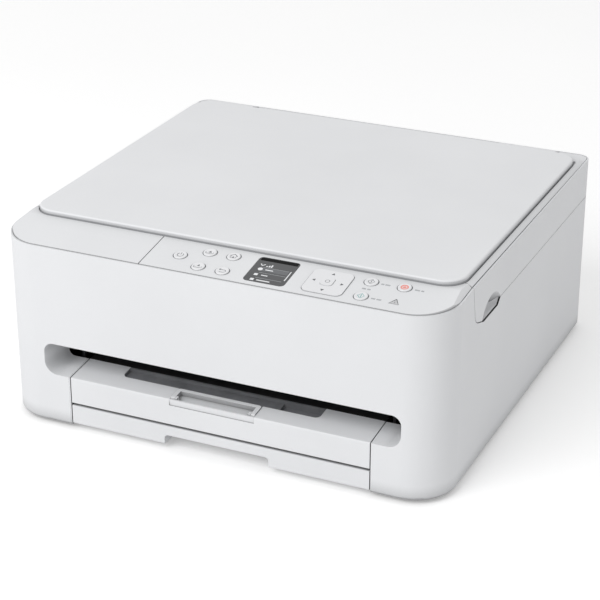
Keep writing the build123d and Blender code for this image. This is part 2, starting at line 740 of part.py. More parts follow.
def support_tunnel():
    """The way of the support's plate under the tray's floor, with a groove for its wings."""
    middle = (CHANNEL_X0 + CHANNEL_X1) / 2
    width = CHANNEL_X1 - CHANNEL_X0
    bore = Pos(middle, CHANNEL_LONG / 2 - 5) * Rectangle(width, CHANNEL_LONG)
    tunnel = extrude(TRAY * Pos(0, 0, -CHANNEL_DEEP) * bore, CHANNEL_DEEP + TUNNEL_TOP)
    start = TRAY_WALL + 0.5
    long = CHANNEL_LONG - 5 - start
    groove = Pos(middle, start + long / 2) * Rectangle(width + 2 * CHANNEL_LIP, long)
    return tunnel + extrude(TRAY * Pos(0, 0, -CHANNEL_DEEP) * groove, CHANNEL_LIP_T)


def output_tray():
    x0 = TRAY_X0 + TRAY_GAP
    x1 = TRAY_X1 - TRAY_GAP
    front = block(x0, x1, FRONT_Y - 5, FRONT_Y + TRAY_SPLIT, 0, SPLIT_Z)
    tray = side_prism(tray_section(), x0, x1) & front
    for x in (x0, x1 - TRAY_WALL):
        foot = TRAY_SEAM_Z + 0.4
        tray += block(x, x + TRAY_WALL, FRONT_Y + 1, FRONT_Y + TRAY_SPLIT, foot, TRAY_FRONT_Z - 8)
    return tray - tray_hollows() - support_tunnel()


def inner_tray():
    x0 = TRAY_X0 + TRAY_GAP
    x1 = TRAY_X1 - TRAY_GAP
    start = FRONT_Y + TRAY_SPLIT
    tray = side_prism(tray_section(), x0, x1) & block(x0, x1, start, TRAY_REAR_Y, 0, SPLIT_Z)
    foot = TRAY_SEAM_Z + 0.4
    points = [(start, foot), (start, tray_z(start) - 1)]
    points += [(TRAY_REAR_Y, tray_z(TRAY_REAR_Y) - 1), (TRAY_REAR_Y, foot)]
    side = Polygon(*points, align=None)
    for x in (x0, x1 - TRAY_WALL):
        tray += side_prism(side, x, x + TRAY_WALL)
    return tray - support_tunnel()


def output_support():
    middle = (CHANNEL_X0 + CHANNEL_X1) / 2
    width = CHANNEL_X1 - CHANNEL_X0 - 2 * SUPPORT_PLAY
    long = CHANNEL_LONG - 8
    low = 0.1 - CHANNEL_DEEP
    plate = Pos(middle, long / 2 + 0.3, low) * Rectangle(width, long)
    support = extrude(TRAY * plate, SUPPORT_TOP - low)
    wings = Pos(middle, long + 0.3 - SUPPORT_WING / 2, low)
    wings = wings * Rectangle(width + 2 * CHANNEL_LIP, SUPPORT_WING)
    support += extrude(TRAY * wings, CHANNEL_LIP_T - 0.3)
    lip = Pos(middle, 0.75, low) * Rectangle(width + SUPPORT_PLAY, 1.3)
    support += extrude(TRAY * lip, -low)
    bar = STOPPER_BAR + 0.4
    height = STOPPER_AXIS_N - SUPPORT_TOP + STOPPER_PIN_R + 0.7
    for x in (CHANNEL_X0 + SUPPORT_PLAY + bar, CHANNEL_X1 - SUPPORT_PLAY - bar - STOPPER_EAR):
        ear = Pos(x + STOPPER_EAR / 2, STOPPER_AXIS_V, SUPPORT_TOP - 0.5) * Rectangle(STOPPER_EAR, 3.4)
        support += extrude(TRAY * ear, height + 0.5)
    for hole in stopper_pins(STOPPER_PIN_R + PIN_PLAY):
        support -= hole
    return support


def stopper_pins(radius):
    spot = TRAY * Pos(0, STOPPER_AXIS_V, STOPPER_AXIS_N)
    y = spot.position.Y
    z = spot.position.Z
    inner = STOPPER_BAR + 0.4 + STOPPER_EAR
    left = CHANNEL_X0 + SUPPORT_PLAY + 1
    right = CHANNEL_X1 - SUPPORT_PLAY - 1
    return [rod_x(left, left + inner, y, z, radius), rod_x(right - inner, right, y, z, radius)]


def paper_stopper():
    """A flat bail: one bar with rounded bends into two legs that turn on pins."""
    x0 = CHANNEL_X0 + SUPPORT_PLAY + 0.2
    x1 = CHANNEL_X1 - SUPPORT_PLAY - 0.2
    half = STOPPER_BAR / 2
    low = STOPPER_AXIS_N - half
    v0 = STOPPER_AXIS_V
    v1 = STOPPER_AXIS_V + STOPPER_REACH + half
    ring = Pos((x0 + x1) / 2, (v0 + v1) / 2) * Rectangle(x1 - x0, v1 - v0)
    ring = fillet(ring.vertices().group_by(Axis.Y)[-1], STOPPER_BEND_R)
    inner = Pos((x0 + x1) / 2, (v0 + v1) / 2 - STOPPER_BAR)
    inner = inner * Rectangle(x1 - x0 - 2 * STOPPER_BAR, v1 - v0)
    bail = extrude(TRAY * Pos(0, 0, low) * (ring - inner), STOPPER_BAR)
    top = bail.edges().filter_by(Axis.X)
    bail = fillet(top.group_by(Axis.Y)[-1], 1.0)
    end = TRAY * Pos(0, STOPPER_AXIS_V, STOPPER_AXIS_N)
    for x in (x0, x1 - STOPPER_BAR):
        bail += rod_x(x, x + STOPPER_BAR, end.position.Y, end.position.Z, half)
    for pin in stopper_pins(STOPPER_PIN_R):
        bail += pin
    return bail


def cassette_tray():
    x0 = TRAY_X0 + TRAY_GAP
    x1 = TRAY_X1 - TRAY_GAP
    wall = CASSETTE_WALL
    tray = block(x0, x1, FRONT_Y, CASSETTE_REAR_Y, CASSETTE_Z, CASSETTE_TOP)
    tray = fillet(tray.faces().sort_by(Axis.Y)[0].edges().filter_by(Axis.X), CASSETTE_EDGE_R)
    tray -= block(
        x0 + wall, x1 - wall, FRONT_Y + wall + 1, CASSETTE_REAR_Y - wall, CASSETTE_Z + CASSETTE_T, SPLIT_Z
    )
    deep = FRONT_Y + NOTCH_DEEP
    side = NOTCH_WALL
    tray += block(
        NOTCH_X0 - side, NOTCH_X1 + side, FRONT_Y + 1, deep + side, CASSETTE_Z, NOTCH_TOP + side
    )
    centre = (NOTCH_X0 + NOTCH_X1) / 2
    mouth = Pos(centre, (NOTCH_TOP + CASSETTE_Z - 10) / 2)
    mouth = mouth * Rectangle(NOTCH_X1 - NOTCH_X0, NOTCH_TOP - CASSETTE_Z + 10)
    mouth = fillet(mouth.vertices().group_by(Axis.Y)[-1], NOTCH_R)
    return tray - front_prism(mouth, FRONT_Y - 1, deep)


def guide_floor():
    return CASSETTE_Z + CASSETTE_T + 0.1


def paper_guide(side):
    inner = TRAY_MID_X + side * PAPER_W / 2
    outer = inner + side * GUIDE_T
    floor = guide_floor()
    foot = floor + GUIDE_FOOT
    y0 = FRONT_Y + GUIDE_BACK
    y1 = y0 + GUIDE_LONG
    x0, x1 = sorted((inner, outer))
    guide = block(x0, x1, y0, y1, floor, floor + GUIDE_H)
    x0, x1 = sorted((inner - side * 12, outer))
    guide += block(x0, x1, y0 + 12, y1 - 12, floor, foot)
    x0, x1 = sorted((inner - side * 40, outer))
    y = (y0 + y1) / 2 - 3 + (5 if side > 0 else -5)
    return guide + block(x0, x1, y, y + 6, floor, foot)


def end_guide():
    floor = guide_floor()
    y = CASSETTE_REAR_Y - 12
    x0 = TRAY_MID_X - END_GUIDE_HALF
    x1 = TRAY_MID_X + END_GUIDE_HALF
    guide = block(x0, x1, y, y + GUIDE_T, floor, floor + GUIDE_H)
    return guide + block(x0, x1, y - 14, y, floor, floor + GUIDE_FOOT)


def grip_bowl(side):
    """A finger bowl that hangs from the scanner unit's floor behind the dip of the shell."""
    bowl = grip_ball(GRIP_BALL_R + GRIP_BOWL_T, side)
    reach = HALF_W - WALL - 0.6
    x0, x1 = sorted((side * (reach - GRIP_BALL_R), side * reach))
    y0 = GRIP_Y - GRIP_BALL_R
    bowl = bowl & block(x0, x1, y0, y0 + 2 * GRIP_BALL_R, SPLIT_Z - GRIP_BOWL, CASE_FLOOR_Z)
    x0, x1 = sorted((side * (reach - 1), side * HALF_W))
    return bowl + side_prism(grip_profile(GRIP_GAP), x0, x1)


def scanner_case():
    case = column(0, SPLIT_Z, RIM_REAR + 5) & side_prism(upper_outline(), -HALF_W, HALF_W)
    rim = [(-FAR / 2, 0), (FAR / 2, 0), (FAR / 2, RIM_REAR)]
    rim += [(REAR_Y, RIM_REAR), (SPLIT_Y, RIM_MID), (-FAR / 2, RIM_MID)]
    case = case & side_prism(Polygon(*rim, align=None), -HALF_W, HALF_W)
    front = SPLIT_Y + SEAM + WALL
    points = [(front, FAR / 2), (front, RIM_MID), (front + SPLIT_LEAN, CASE_FLOOR_Z)]
    points += [(REAR_Y - WALL, CASE_FLOOR_Z), (REAR_Y - WALL, FAR / 2)]
    room = side_prism(Polygon(*points, align=None), -HALF_W, HALF_W) & column(WALL, 100, FAR / 2)
    for side in (-1, 1):
        room -= grip_ball(GRIP_BALL_R + WALL, side)
    case -= room
    for side in (-1, 1):
        case += grip_bowl(side)
        case -= grip_ball(GRIP_BALL_R, side)
    case -= column(LAND, FRAME_Z, FAR / 2)
    axis_y = case_axis_y()
    half = TOWER_W / 2 + EAR_PLAY
    notch_r = TOWER_R + 0.6
    for x in (-TOWER_X, TOWER_X):
        for x0, x1 in ((x - half - CASE_EAR_W, x - half), (x + half, x + half + CASE_EAR_W)):
            boss = block(x0, x1, axis_y - TOWER_R, REAR_Y - 1, SPLIT_Z + SEAM + 1, CASE_AXIS_Z)
            case += boss + rod_x(x0, x1, axis_y, CASE_AXIS_Z, TOWER_R)
        case -= rod_x(x - half, x + half, axis_y, CASE_AXIS_Z, notch_r)
        case -= block(x - half, x + half, axis_y - notch_r, REAR_Y + 5, SPLIT_Z - 5, CASE_AXIS_Z)
        reach = half + CASE_EAR_W + 1
        case -= rod_x(x - reach, x + reach, axis_y, CASE_AXIS_Z, CASE_PIN_R + PIN_PLAY)
    for side in (-1, 1):
        x0, x1 = sorted((side * (HALF_W - ROD_POST), side * (HALF_W - 1.5)))
        case += block(x0, x1, ROD_Y - 6, ROD_Y + 6, CASE_FLOOR_Z - 1, ROD_Z + 6)
    return case - rod_x(-HALF_W + 4, HALF_W - 4, ROD_Y, ROD_Z, ROD_R)


def scanner_hinge_pins():
    axis_y = case_axis_y()
    half = TOWER_W / 2 + CASE_EAR_W - 1
    pins = [rod_x(x - half, x + half, axis_y, CASE_AXIS_Z, CASE_PIN_R) for x in (-TOWER_X, TOWER_X)]
    return Compound(children=pins)


def platen_frame():
    frame = column(LAND + INLAY_GAP, FRAME_Z, MARGIN_CREST)
    frame = frame & side_prism(upper_outline(), -HALF_W, HALF_W)
    side = HALF_W - LAND - INLAY_GAP
    crest = COVER_X + WELL_PLAY + 0.4
    edge = RIM_REAR - 0.2
    outline = [(-side, FRAME_Z), (-side, edge), (-crest, MARGIN_CREST)]
    outline += [(crest, MARGIN_CREST), (side, edge), (side, FRAME_Z)]
    frame = frame & front_prism(Polygon(*outline, align=None), -FAR / 2, FAR / 2)
    frame -= extrude(Pos(0, 0, WELL_Z) * cover_face(WELL_PLAY), 20)
    frame -= block(-HALF_W, HALF_W, COVER_Y1, REAR_Y, WELL_Z, FAR)
    frame -= block(-GLASS_X, GLASS_X, GLASS_Y0, GLASS_Y1, WELL_Z - GLASS_T, FAR)
    ledge = GLASS_LEDGE
    frame -= block(-GLASS_X + ledge, GLASS_X - ledge, GLASS_Y0 + ledge, GLASS_Y1 - ledge, 0, FAR)
    for x0, x1 in COVER_TABS:
        play = KNUCKLE_PLAY
        y0 = COVER_AXIS_Y - KNUCKLE_R - play
        y1 = COVER_AXIS_Y + KNUCKLE_R + play
        frame += block(x0 - 6, x1 + 6, y0 - 2.3, REAR_Y - WALL - 0.3, FRAME_Z - 5, WELL_Z)
        frame -= block(x0 - 0.3, x1 + 0.3, y0, y1, COVER_AXIS_Z - KNUCKLE_R - play, FAR)
        frame -= rod_x(x0 - PIN_REACH, x1 + PIN_REACH, COVER_AXIS_Y, COVER_AXIS_Z, PIN_R)
        frame -= block(
            x0 - PIN_REACH, x1 + PIN_REACH, COVER_AXIS_Y - PIN_R, COVER_AXIS_Y + PIN_R, COVER_AXIS_Z, FAR
        )
    return frame


def platen_glass():
    x = GLASS_X - 0.15
    return block(-x, x, GLASS_Y0 + 0.15, GLASS_Y1 - 0.15, WELL_Z - GLASS_T, WELL_Z)


def cover_hinge_pins():
    reach = PIN_REACH
    return Compound(
        children=[rod_x(x0 - reach, x1 + reach, COVER_AXIS_Y, COVER_AXIS_Z, PIN_R) for x0, x1 in COVER_TABS]
    )


def pad_sheet_face(grow):
    width = 2 * (PAD_SHEET_X + grow)
    return Pos(0, GLASS_MID_Y) * RectangleRounded(width, PAD_SHEET_L + 2 * grow, PAD_SHEET_R + grow)


def document_cover():
    cover = extrude(Pos(0, 0, COVER_Z0) * cover_face(0), COVER_TOP - COVER_Z0)
    cover = fillet(cover.edges().group_by(Axis.Z)[-1], COVER_EDGE_R)
    cover -= extrude(Pos(0, 0, COVER_Z0) * pad_sheet_face(0.3), PAD_SINK)
    top = COVER_AXIS_Z + KNUCKLE_R
    for x0, x1 in COVER_TABS:
        arm = [(COVER_Y1 - 4, COVER_Z0), (COVER_Y1 - 4, COVER_TOP - 0.3)]
        arm += [(COVER_Y1 + 1, COVER_TOP - 0.3), (COVER_AXIS_Y + 2.4, top - 0.8)]
        arm += [(COVER_AXIS_Y, COVER_AXIS_Z), (COVER_AXIS_Y - 3.0, top - 1.7)]
        cover += side_prism(Polygon(*arm, align=None), x0, x1)
        cover += rod_x(x0, x1, COVER_AXIS_Y, COVER_AXIS_Z, KNUCKLE_R)
        cover -= rod_x(x0 - 1, x1 + 1, COVER_AXIS_Y, COVER_AXIS_Z, PIN_R + PIN_PLAY)
    return cover


def cover_pad():
    height = COVER_Z0 + PAD_SINK - PAD_SHEET_Z
    return extrude(Pos(0, 0, PAD_SHEET_Z) * pad_sheet_face(0), height)


def scan_rod():
    return rod_x(-HALF_W + 4.5, HALF_W - 4.5, ROD_Y, ROD_Z, ROD_R - 0.05)


def scan_head():
    x0 = HEAD_X - HEAD_W / 2
    x1 = HEAD_X + HEAD_W / 2
    y0 = GLASS_Y0 + HEAD_END
    y1 = GLASS_Y1 - HEAD_END
    head = block(x0, x1, y0, y1, HEAD_TOP - HEAD_H, HEAD_TOP)
    head += block(x0 + 2, x1 - 2, ROD_Y - 8, ROD_Y + 8, ROD_Z - 5, HEAD_TOP - HEAD_H + 1)
    head -= rod_x(x0 - 1, x1 + 1, ROD_Y, ROD_Z, ROD_R + 0.05)
    return head - block(
        x0 + LENS_BACK, x0 + LENS_BACK + LENS_W, y0 + LENS_END, y1 - LENS_END, HEAD_TOP - LENS_DEEP, HEAD_TOP + 1
    )


def lens_strip():
    x0 = HEAD_X - HEAD_W / 2 + LENS_BACK + CUT_PLAY
    x1 = x0 + LENS_W - 2 * CUT_PLAY
    y0 = GLASS_Y0 + HEAD_END + LENS_END + CUT_PLAY
    y1 = GLASS_Y1 - HEAD_END - LENS_END - CUT_PLAY
    return block(x0, x1, y0, y1, HEAD_TOP - LENS_DEEP, HEAD_TOP - 0.2)


def inner_frame():
    top = FRAME_FLOOR_Z + FRAME_FLOOR_T
    frame = block(FRAME_X0, FRAME_X1, TRAY_REAR_Y + 5, FRAME_Y1, FRAME_FLOOR_Z, top)
    bar_top = BAR_Z + BAR_T
    for x0 in (FRAME_X0 - PLATE_T, FRAME_X1):
        x1 = x0 + PLATE_T
        frame += block(x0, x1, FRAME_Y0, FRAME_Y1, FRAME_FLOOR_Z, PLATE_TOP)
        frame += block(x0, x1, FRAME_Y0, FRAME_Y0 + BAR_LONG, PLATE_TOP - 1, bar_top)
        frame += block(x0, x1, EXIT_Y - 6, EXIT_Y + 6, PLATE_TOP - 1, BAR_Z - 0.5)
    frame += block(FRAME_X0 - 1, FRAME_X1 + 1, FRAME_Y0, FRAME_Y0 + BAR_LONG, BAR_Z, bar_top)
    for y in (EXIT_Y, FEED_Y):
        frame -= rod_x(FRAME_X0 - 5, FRAME_X1 + 5, y, SHAFT_Z, SHAFT_R + SHAFT_PLAY)
    return frame


def platen_plate():
    y0 = EXIT_Y + PLATEN_DEEP
    y1 = FEED_Y - PLATEN_DEEP
    top = SHAFT_Z - 2
    plate = block(FRAME_X0, FRAME_X1, y0, y1, top - 4, top)
    start = TRAY_MID_X - PLATEN_PITCH * (PLATEN_RIBS - 1) / 2
    for step in range(PLATEN_RIBS):
        x = start + step * PLATEN_PITCH
        plate += block(x - 1, x + 1, y0 + 4, y1 - 4, top - 1, top + 3)
    return plate


def roller_spots(count):
    pitch = ROLLER_SPAN / count
    return [TRAY_MID_X - ROLLER_SPAN / 2 + pitch * (step + 0.5) for step in range(count)]


def pulley_x():
    return FRAME_X0 - PLATE_T - PULLEY_W - 1


def roller(y, count, width):
    shaft = rod_x(pulley_x() - 1, FRAME_X1 + PLATE_T + 2, y, SHAFT_Z, SHAFT_R)
    for x in roller_spots(count):
        shaft += rod_x(x - width / 2, x + width / 2, y, SHAFT_Z, ROLLER_R)
    pulley = rod_x(pulley_x(), pulley_x() + PULLEY_W, y, SHAFT_Z, PULLEY_R + BELT_T)
    middle = pulley_x() + PULLEY_W / 2
    half = BELT_W / 2 + BELT_PLAY
    groove = rod_x(middle - half, middle + half, y, SHAFT_Z, PULLEY_R + BELT_T + 1)
    groove -= rod_x(middle - half - 1, middle + half + 1, y, SHAFT_Z, PULLEY_R)
    return shaft + (pulley - groove)


def belt_loop(radius):
    length = FEED_APART + 2 * radius
    return Pos((EXIT_Y + FEED_Y) / 2, SHAFT_Z) * SlotOverall(length, 2 * radius)


def roller_belt():
    middle = pulley_x() + PULLEY_W / 2
    inner = PULLEY_R + BELT_PLAY
    loop = belt_loop(inner + BELT_T) - belt_loop(inner)
    return side_prism(loop, middle - BELT_W / 2, middle + BELT_W / 2)


def star_wheel_bar():
    bar = block(FRAME_X0, FRAME_X1, EXIT_Y - 6, EXIT_Y + 6, BAR_Z - 0.5, BAR_Z + 3)
    axle_z = SHAFT_Z + ROLLER_R + STAR_R + STAR_PLAY
    for x in roller_spots(EXIT_ROLLERS):
        bar += block(x - 3, x + 3, EXIT_Y - 3, EXIT_Y + 3, axle_z - 2, BAR_Z)
        bar += rod_x(x - STAR_T / 2, x + STAR_T / 2, EXIT_Y, axle_z, STAR_R)
    return bar


def carriage_rail():
    rail = block(RAIL_X0, RAIL_X1, RAIL_Y, RAIL_Y + RAIL_T, RAIL_Z0, RAIL_Z1)
    rail += block(RAIL_X0, RAIL_X1, RAIL_Y, RAIL_Y + 12, RAIL_Z0, RAIL_Z0 + RAIL_T)
    return rail + block(RAIL_X0, RAIL_X1, RAIL_Y, RAIL_Y + 8, RAIL_Z1 - RAIL_T, RAIL_Z1)


def print_carriage():
    x0 = CARRIAGE_X - CARRIAGE_W / 2
    x1 = CARRIAGE_X + CARRIAGE_W / 2
    wall = CARRIAGE_WALL
    floor = CARRIAGE_Z0 + wall
    box = block(x0, x1, CARRIAGE_Y0, CARRIAGE_Y1, CARRIAGE_Z0, CARRIAGE_Z1 - 6)
    for a, b in ((x0 + wall, CARRIAGE_X - wall / 2), (CARRIAGE_X + wall / 2, x1 - wall)):
        box -= block(a, b, CARRIAGE_Y0 + wall, CARRIAGE_Y1 - 2 * wall, floor, FAR)
    for a, b in ((x0 + 8, CARRIAGE_X - 8), (CARRIAGE_X + 8, x1 - 8)):
        box -= block(a, b, CARRIAGE_Y0 + 8, CARRIAGE_Y0 + 30, CARRIAGE_Z0 - 1, floor + 2)
    return box + block(x0 + 5, x1 - 5, CARRIAGE_Y1 - 4, RAIL_Y - 0.3, RAIL_Z0 + 8, RAIL_Z1 - 8)


def cartridge(side):
    middle = CARRIAGE_X + side * (CARRIAGE_W / 4 - 0.4)
    half = CARRIAGE_W / 4 - CARRIAGE_WALL
    y0 = CARRIAGE_Y0 + CARRIAGE_WALL + 0.3
    y1 = CARRIAGE_Y1 - 2 * CARRIAGE_WALL - 0.3
    low = CARRIAGE_Z0 + CARRIAGE_WALL
    body = block(middle - half, middle + half, y0, y1, low, CARRIAGE_Z1 - 2)
    body = fillet(body.edges().filter_by(Axis.X).group_by(Axis.Z)[-1], 3.0)
    return body + block(middle - 9, middle + 9, y0 + 6, y0 + 24, CARRIAGE_Z0 + 0.6, low + 1)


def capping_unit():
    x0 = FRAME_X1 + PLATE_T + 4
    x1 = HALF_W - 8
    y0 = CARRIAGE_Y0 - 4
    top = SHAFT_Z - 2
    unit = block(x0, x1, y0, y0 + 66, CASSETTE_Z, top)
    third = (x1 - x0) / 4
    for x in (x0 + third, x1 - third):
        unit += block(x - 7, x + 7, y0 + 14, y0 + 32, top - 1, CARRIAGE_Z0 - 0.4)
    return unit


def ink_absorber():
    front = RAIL_Y + PILLAR_L + ABSORBER_FRONT
    rear = REAR_Y - ABSORBER_BACK
    return block(FRAME_X1 + 8, HALF_W - 10, front, rear, CASSETTE_Z, 2 * TRAY_SEAM_Z)


def power_supply():
    x0 = -HALF_W + 6
    x1 = FRAME_X0 - 10.5
    y0 = FRONT_Y + 67.5
    top = SHAFT_Z - 6
    unit = block(x0, x1, y0, y0 + 130, CASSETTE_Z, top)
    for step in range(8):
        y = y0 + 15 + step * 13
        unit -= block(x0 + 5, x1 - 5, y, y + 4, top - 2, top + 4)
    return unit


def mains_inlet():
    half = SOCKET_DEEP / 2
    inlet = Pos(INLET_X, REAR_Y - half, INLET_Z) * Box(INLET_W, SOCKET_DEEP, INLET_H)
    well = Pos(INLET_X, REAR_Y, INLET_Z)
    for x in (-3.9, 3.9):
        inlet -= well * Pos(x, -1, 0) * Rot(90, 0, 0) * Cylinder(4.4, 22)
    back = REAR_Y - SOCKET_DEEP
    x0 = INLET_X - INLET_W / 2 + 1
    x1 = INLET_X + INLET_W / 2 - 1
    inlet += block(x0, x1, back - 2, back + 4, INLET_Z - INLET_H / 2 + 0.5, INLET_Z + INLET_H / 2 - 0.5)
    for x in (-4.3, 4.3):
        inlet += rod_y(back + 2, REAR_Y - 3, INLET_X + x, INLET_Z, 1.2)
    return inlet


def usb_port():
    port = Pos(USB_X, REAR_Y - SOCKET_DEEP / 2, USB_Z) * Box(USB_W, SOCKET_DEEP, USB_H)
    port -= Pos(USB_X, REAR_Y - 3, USB_Z) * Box(USB_W - 4.6, 12, USB_H - 4.2)
    return port + Pos(USB_X, REAR_Y - 7, USB_Z) * Box(5.6, 10, 3.2)


def main_board():
    x0 = USB_X + USB_W / 2 + 1.3
    y1 = REAR_Y - SOCKET_DEEP - 1
    low = USB_Z - 16
    board = block(x0, x0 + BOARD_T, RAIL_Y + BOARD_FRONT, y1, low, low + 60)
    back = REAR_Y - SOCKET_DEEP - 0.2
    return board + block(USB_X - 5, x0 + 0.2, back - 13.8, back, USB_Z - USB_H / 2, USB_Z + USB_H / 2)


def feed_motor():
    x1 = FRAME_X0 - PLATE_T - 0.2
    return rod_x(x1 - 30, x1, FEED_Y + 45, SHAFT_Z, 16)


def carriage_motor():
    y = RAIL_Y + 26
    top = RAIL_Z0 + RAIL_T
    bracket = block(RAIL_X0, RAIL_X0 + 28, RAIL_Y + 12.2, RAIL_Y + 39, RAIL_Z0, top)
    return bracket + rod_z(top, top + MOTOR_H, RAIL_X0 + 14, y, MOTOR_R)


NODES = {
    "main_shell": main_shell(),
    "rear_panel": rear_panel(),
    "rear_cover": rear_cover(),
    "base_pan": base_pan(),
    "feet": feet(),
    "left_top_panel": left_top_panel(),
    "control_panel": control_panel(),
    "lcd_window": lcd_window(),
    "lcd_module": lcd_module(),
    "alarm_lamp": alarm_lamp(),
    "control_board": control_board(),
    "power_button": round_button(POWER_AT),
    "menu_button_1": round_button(MENU_AT[0]),
    "menu_button_2": round_button(MENU_AT[1]),
    "menu_button_3": round_button(MENU_AT[2]),
    "menu_button_4": round_button(MENU_AT[3]),
    "black_button": round_button(BLACK_AT),
    "stop_button": round_button(STOP_AT),
    "colour_button": round_button(COLOUR_AT),
    "direction_pad": direction_pad(),
    "ok_button": ok_button(),
    "output_tray": output_tray(),
    "inner_tray": inner_tray(),
    "output_support": output_support(),
    "paper_stopper": paper_stopper(),
    "cassette_tray": cassette_tray(),
    "paper_guide_left": paper_guide(-1),
    "paper_guide_right": paper_guide(1),
    "end_guide": end_guide(),
    "scanner_case": scanner_case(),
    "scanner_hinge_pins": scanner_hinge_pins(),
    "platen_frame": platen_frame(),
    "platen_glass": platen_glass(),
    "cover_hinge_pins": cover_hinge_pins(),
    "document_cover": document_cover(),
    "cover_pad": cover_pad(),
    "scan_rod": scan_rod(),
    "scan_head": scan_head(),
    "lens_strip": lens_strip(),
    "inner_frame": inner_frame(),
    "platen_plate": platen_plate(),
    "exit_roller": roller(EXIT_Y, EXIT_ROLLERS, EXIT_ROLLER_W),
    "feed_roller": roller(FEED_Y, FEED_ROLLERS, FEED_ROLLER_W),
    "roller_belt": roller_belt(),
    "star_wheel_bar": star_wheel_bar(),
    "carriage_rail": carriage_rail(),
    "print_carriage": print_carriage(),
    "black_cartridge": cartridge(-1),
    "colour_cartridge": cartridge(1),
    "capping_unit": capping_unit(),
    "ink_absorber": ink_absorber(),
    "power_supply": power_supply(),
    "mains_inlet": mains_inlet(),
    "usb_port": usb_port(),
    "main_board": main_board(),
    "feed_motor": feed_motor(),
    "carriage_motor": carriage_motor(),
}

for name, shape in NODES.items():
    export_step(shape, f"parts/{name}.step")
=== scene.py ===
import math

import bmesh
import bpy
from mathutils import Matrix, Vector


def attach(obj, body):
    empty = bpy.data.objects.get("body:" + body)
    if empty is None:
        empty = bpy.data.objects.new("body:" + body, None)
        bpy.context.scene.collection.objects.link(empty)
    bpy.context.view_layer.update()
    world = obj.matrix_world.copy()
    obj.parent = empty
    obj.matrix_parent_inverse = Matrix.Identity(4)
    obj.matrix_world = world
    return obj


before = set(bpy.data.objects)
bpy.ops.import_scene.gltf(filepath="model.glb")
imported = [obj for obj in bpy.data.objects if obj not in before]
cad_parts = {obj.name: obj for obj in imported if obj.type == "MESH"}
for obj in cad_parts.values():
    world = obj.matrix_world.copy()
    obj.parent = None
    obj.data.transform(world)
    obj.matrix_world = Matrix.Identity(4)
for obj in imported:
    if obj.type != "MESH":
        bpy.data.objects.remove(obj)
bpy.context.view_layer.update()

# Sizes and places on the printer are in millimetres, and MM turns them into metres.
MM = 0.001

# The sloping key panel: its front edge, its slope, and the ways to the rear and up on it.
PANEL_FRONT_Y = -177.5
PANEL_FRONT_Z = 154.1
PANEL_ANGLE = math.atan(0.15)
PANEL_BACK = Vector((0, math.cos(PANEL_ANGLE), math.sin(PANEL_ANGLE)))
PANEL_UP = Vector((0, -math.sin(PANEL_ANGLE), math.cos(PANEL_ANGLE)))

# The sloping tray, seen the same way from its front edge.
TRAY_ANGLE = math.radians(5.4)
TRAY_BACK = Vector((0, math.cos(TRAY_ANGLE), math.sin(TRAY_ANGLE)))
TRAY_UP = Vector((0, -math.sin(TRAY_ANGLE), math.cos(TRAY_ANGLE)))
TRAY_FRONT = Vector((0, -177.5, 45.4))
TRAY_BACK_AT_FRONT = TRAY_BACK.dot(TRAY_FRONT)
TRAY_UP_AT_FRONT = TRAY_UP.dot(TRAY_FRONT)

# Painted shade: the tray's pocket is painted grey between two sides and behind a front line,
# wherever the plastic is lower than the tray's face, and everywhere behind the bridge.
POCKET_LEFT_X = -87.1
POCKET_RIGHT_X = 81.6
POCKET_FRONT = 16.3
POCKET_DROP = 0.06
POCKET_BRIDGE = 29.2

# Painted shade: the pull-out support is painted grey behind its white front and under the tray's
# face.
SUPPORT_SHADE_FRONT = 15.0
SUPPORT_SHADE_DROP = 2.9

# Painted shade on the walls in the tray's two narrow gaps: the shell's on the left, as
# high and as far back as the gap shows it, and the tray's own end on the right.
GAP_LEFT_X = -125.9
GAP_WALL_TOP_Z = 56.0
GAP_WALL_BACK_Y = -100.0
TRAY_RIGHT_X = 130.5
WALL_REACH = 0.05

# Where the round keys sit on the panel, and the line of shade in the gap round each of them.
KEYS = {
    "power_button": (-35.2, -155.6),
    "menu_button_1": (-15.3, -145.2),
    "menu_button_2": (4.4, -145.0),
    "menu_button_3": (-15.0, -165.8),
    "menu_button_4": (5.1, -165.9),
    "black_button": (115.6, -145.2),
    "stop_button": (141.4, -144.8),
    "colour_button": (115.7, -165.1),
}
KEY_GAP_RADIUS = 5.5
KEY_GAP_THIN = 0.06
KEY_GAP_THICK = 0.42
KEY_GAP_STEPS = 40

# A round key's top is a shallow dish.
DISH_RADIUS = 22.0
DISH_RISE = 0.45

# The direction pad, the confirm key on it, the screen and the alarm lamp: where each sits,
# and how far its face stands above the panel.
PAD_AT = (85.75, -155.75)
PAD_RISE = 0.5
OK_AT = (85.4, -155.4)
OK_RISE = 1.0
SCREEN_AT = (40.35, -154.85)
SCREEN_RISE = -0.1
ALARM_AT = (141.5, -164.9)

# The pad's line of painted shade on the panel, and the ring of arrows on the pad.
PAD_HALF_W = 16.3
PAD_HALF_L = 15.75
PAD_CORNER = 5.35
PAD_CORNER_STEPS = 8
PAD_LINE = 0.24
PAD_ARROWS = 4
PAD_ARROW_RING = 10.9
PAD_ARROW_SIZE = 1.7
PAD_ARROW_LIFT = 0.04

# Printed layers: how thick they are, how far they lift off what carries them, and how near
# to each other two corners become one.
PRINT_THICKNESS = 0.06
PRINT_LIFT = 0.03
PRINT_MERGE = 0.002

# How often a layer's edges are cut in half at most, and the longest edge that it may keep: in
# the signs, which also follow dished keys, in the rings on the flat panel, and on the flat
# screen, where nothing is cut.
PRINT_CUTS = 4
SIGN_CUT = 0.7
RING_CUT = 2
SCREEN_CUT = 40

